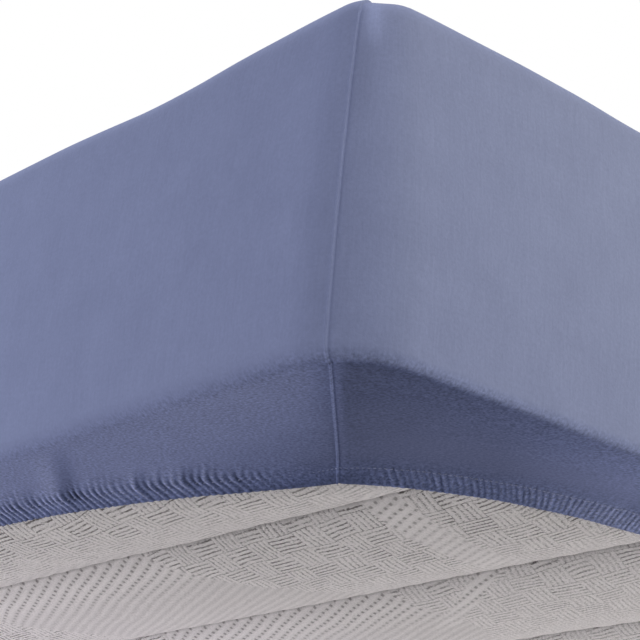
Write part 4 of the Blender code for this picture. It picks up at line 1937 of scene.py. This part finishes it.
@dataclass(frozen=True)
class Studio:
    """A pale floor that shows from above only, soft light, and the low camera of the photo."""

    corner: Triple
    lens: float = 114.6
    sensor: float = 36.0
    view_depth: float = 50.0
    azimuth: float = math.radians(50.82)
    pitch: float = math.radians(20.936)
    roll: float = math.radians(4.641)
    stand_off: float = 1.067
    aside: float = -0.016
    below: float = 0.398
    aim_inset: float = 50 * MM
    aim_height: float = 120 * MM
    ambient: float = 0.14
    softboxes: tuple[Softbox, ...] = (
        Softbox("left_key", -60, -12, 2.4, 1.6, 36.7, (1.0, 0.967, 0.953)),
        Softbox("right_key", 60, 12, 2.4, 1.6, 32.7, (1.0, 0.985, 0.925)),
        Softbox("left_side", -90, 12, 2.4, 1.6, 6.4, (1.0, 0.91, 0.54)),
        Softbox("left_near", -60, 12, 1.3, 0.9, 2.55, (0.887, 1.0, 0.868)),
        Softbox("left_low", -90, -35, 1.3, 0.9, 1.08, (0.89, 0.828, 1.0)),
    )
    overhead: Overhead = Overhead()
    floor_size: float = 14.0
    floor_tone: Colour = (0.17, 0.17, 0.17)
    floor_glow: Colour = (0.50, 0.50, 0.50)
    floor_roughness: float = 0.9

    def camera(self) -> None:
        """Place the camera below the seen corner, looking up at it."""
        a, e, r = self.azimuth, self.pitch, self.roll
        forward = Vector((-math.sin(a) * math.cos(e), math.cos(a) * math.cos(e), math.sin(e)))
        level = Vector((math.cos(a), math.sin(a), 0.0))
        upward = level.cross(forward)
        right = level * math.cos(r) + upward * math.sin(r)
        up = upward * math.cos(r) - level * math.sin(r)
        back = Vector((math.sin(a), -math.cos(a), 0.0)) * self.stand_off
        place = Vector(self.corner) + back + level * self.aside - Vector((0, 0, self.below))
        data = bpy.data.cameras.new("camera")
        data.lens = self.lens
        data.sensor_width = self.sensor
        data.clip_end = self.view_depth
        camera = bpy.data.objects.new("camera", data)
        turned = Matrix((right, up, -forward)).transposed().to_4x4()
        camera.matrix_world = Matrix.Translation(place) @ turned
        bpy.context.scene.collection.objects.link(camera)
        bpy.context.scene.camera = camera

    def floor(self) -> None:
        """Lay the floor: seen from above, clear from below, and no part of the light."""
        bpy.ops.object.select_all(action="DESELECT")
        bpy.ops.mesh.primitive_plane_add(size=self.floor_size, location=(0, 0, 0))
        floor = bpy.context.active_object
        floor.name = "studio_floor"
        g = Graph("pale_floor")
        g.surface({"Base Color": (*self.floor_tone, 1.0), "Roughness": self.floor_roughness,
                   "Emission Color": (*self.floor_glow, 1.0), "Emission Strength": 1.0})
        clear = g.add("ShaderNodeBsdfTransparent")
        choose = g.add("ShaderNodeMixShader")
        g.feed(g.add("ShaderNodeNewGeometry").outputs["Backfacing"], choose.inputs[0])
        g.feed(g.shader.outputs[0], choose.inputs[1])
        g.feed(clear.outputs[0], choose.inputs[2])
        g.feed(choose.outputs[0], g.tree.nodes["Material Output"].inputs["Surface"])
        floor.data.materials.append(g.material)
        for ray in ("diffuse", "glossy", "transmission", "shadow"):
            setattr(floor, f"visible_{ray}", False)

    def light(self) -> None:
        """Light the scene: soft boxes, and a white surround that is dimmer as a light."""
        world = bpy.data.worlds.new("white_studio")
        world.use_nodes = True
        bpy.context.scene.world = world
        tree = world.node_tree
        background = tree.nodes["Background"]
        background.inputs["Color"].default_value = (1.0, 1.0, 1.0, 1.0)
        strength = tree.nodes.new("ShaderNodeMath")
        strength.operation = "MULTIPLY_ADD"
        strength.inputs[1].default_value = 1.0 - self.ambient
        strength.inputs[2].default_value = self.ambient
        tree.links.new(tree.nodes.new("ShaderNodeLightPath").outputs["Is Camera Ray"],
                       strength.inputs[0])
        tree.links.new(strength.outputs[0], background.inputs["Strength"])
        bpy.context.scene.view_settings.view_transform = "Standard"
        aim = Vector(self.corner) + Vector((-self.aim_inset, self.aim_inset, self.aim_height))
        for softbox in self.softboxes:
            softbox.build(aim)
        self.overhead.build()

    def build(self) -> None:
        """Set up the camera, floor and light."""
        self.camera()
        self.floor()
        self.light()


def main() -> None:
    """Dress the frame."""
    logging.basicConfig(level=logging.INFO, format="%(name)s: %(message)s")
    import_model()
    low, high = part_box("fitted_sheet")
    size = high - low
    outline = Outline(length=size.x, width=size.y)
    hem = Hem(outline)
    studio = Studio(corner=(high.x, low.y, 10 * MM))
    studio.build()
    maker = FittedSheet(outline, hem, size.z)
    mattress = QuiltedMattress(outline, hem, size.z, maker.dips).build(TickingFinish())
    LOG.info("%s: %d faces", mattress.name, len(mattress.data.polygons))
    sheet = maker.build(JerseyFinish())
    sewing = Sewing().build(maker, ThreadFinish())
    LOG.info("%s: %d faces", sheet.name, len(sheet.data.polygons))


if __name__ == "__main__":
    main()
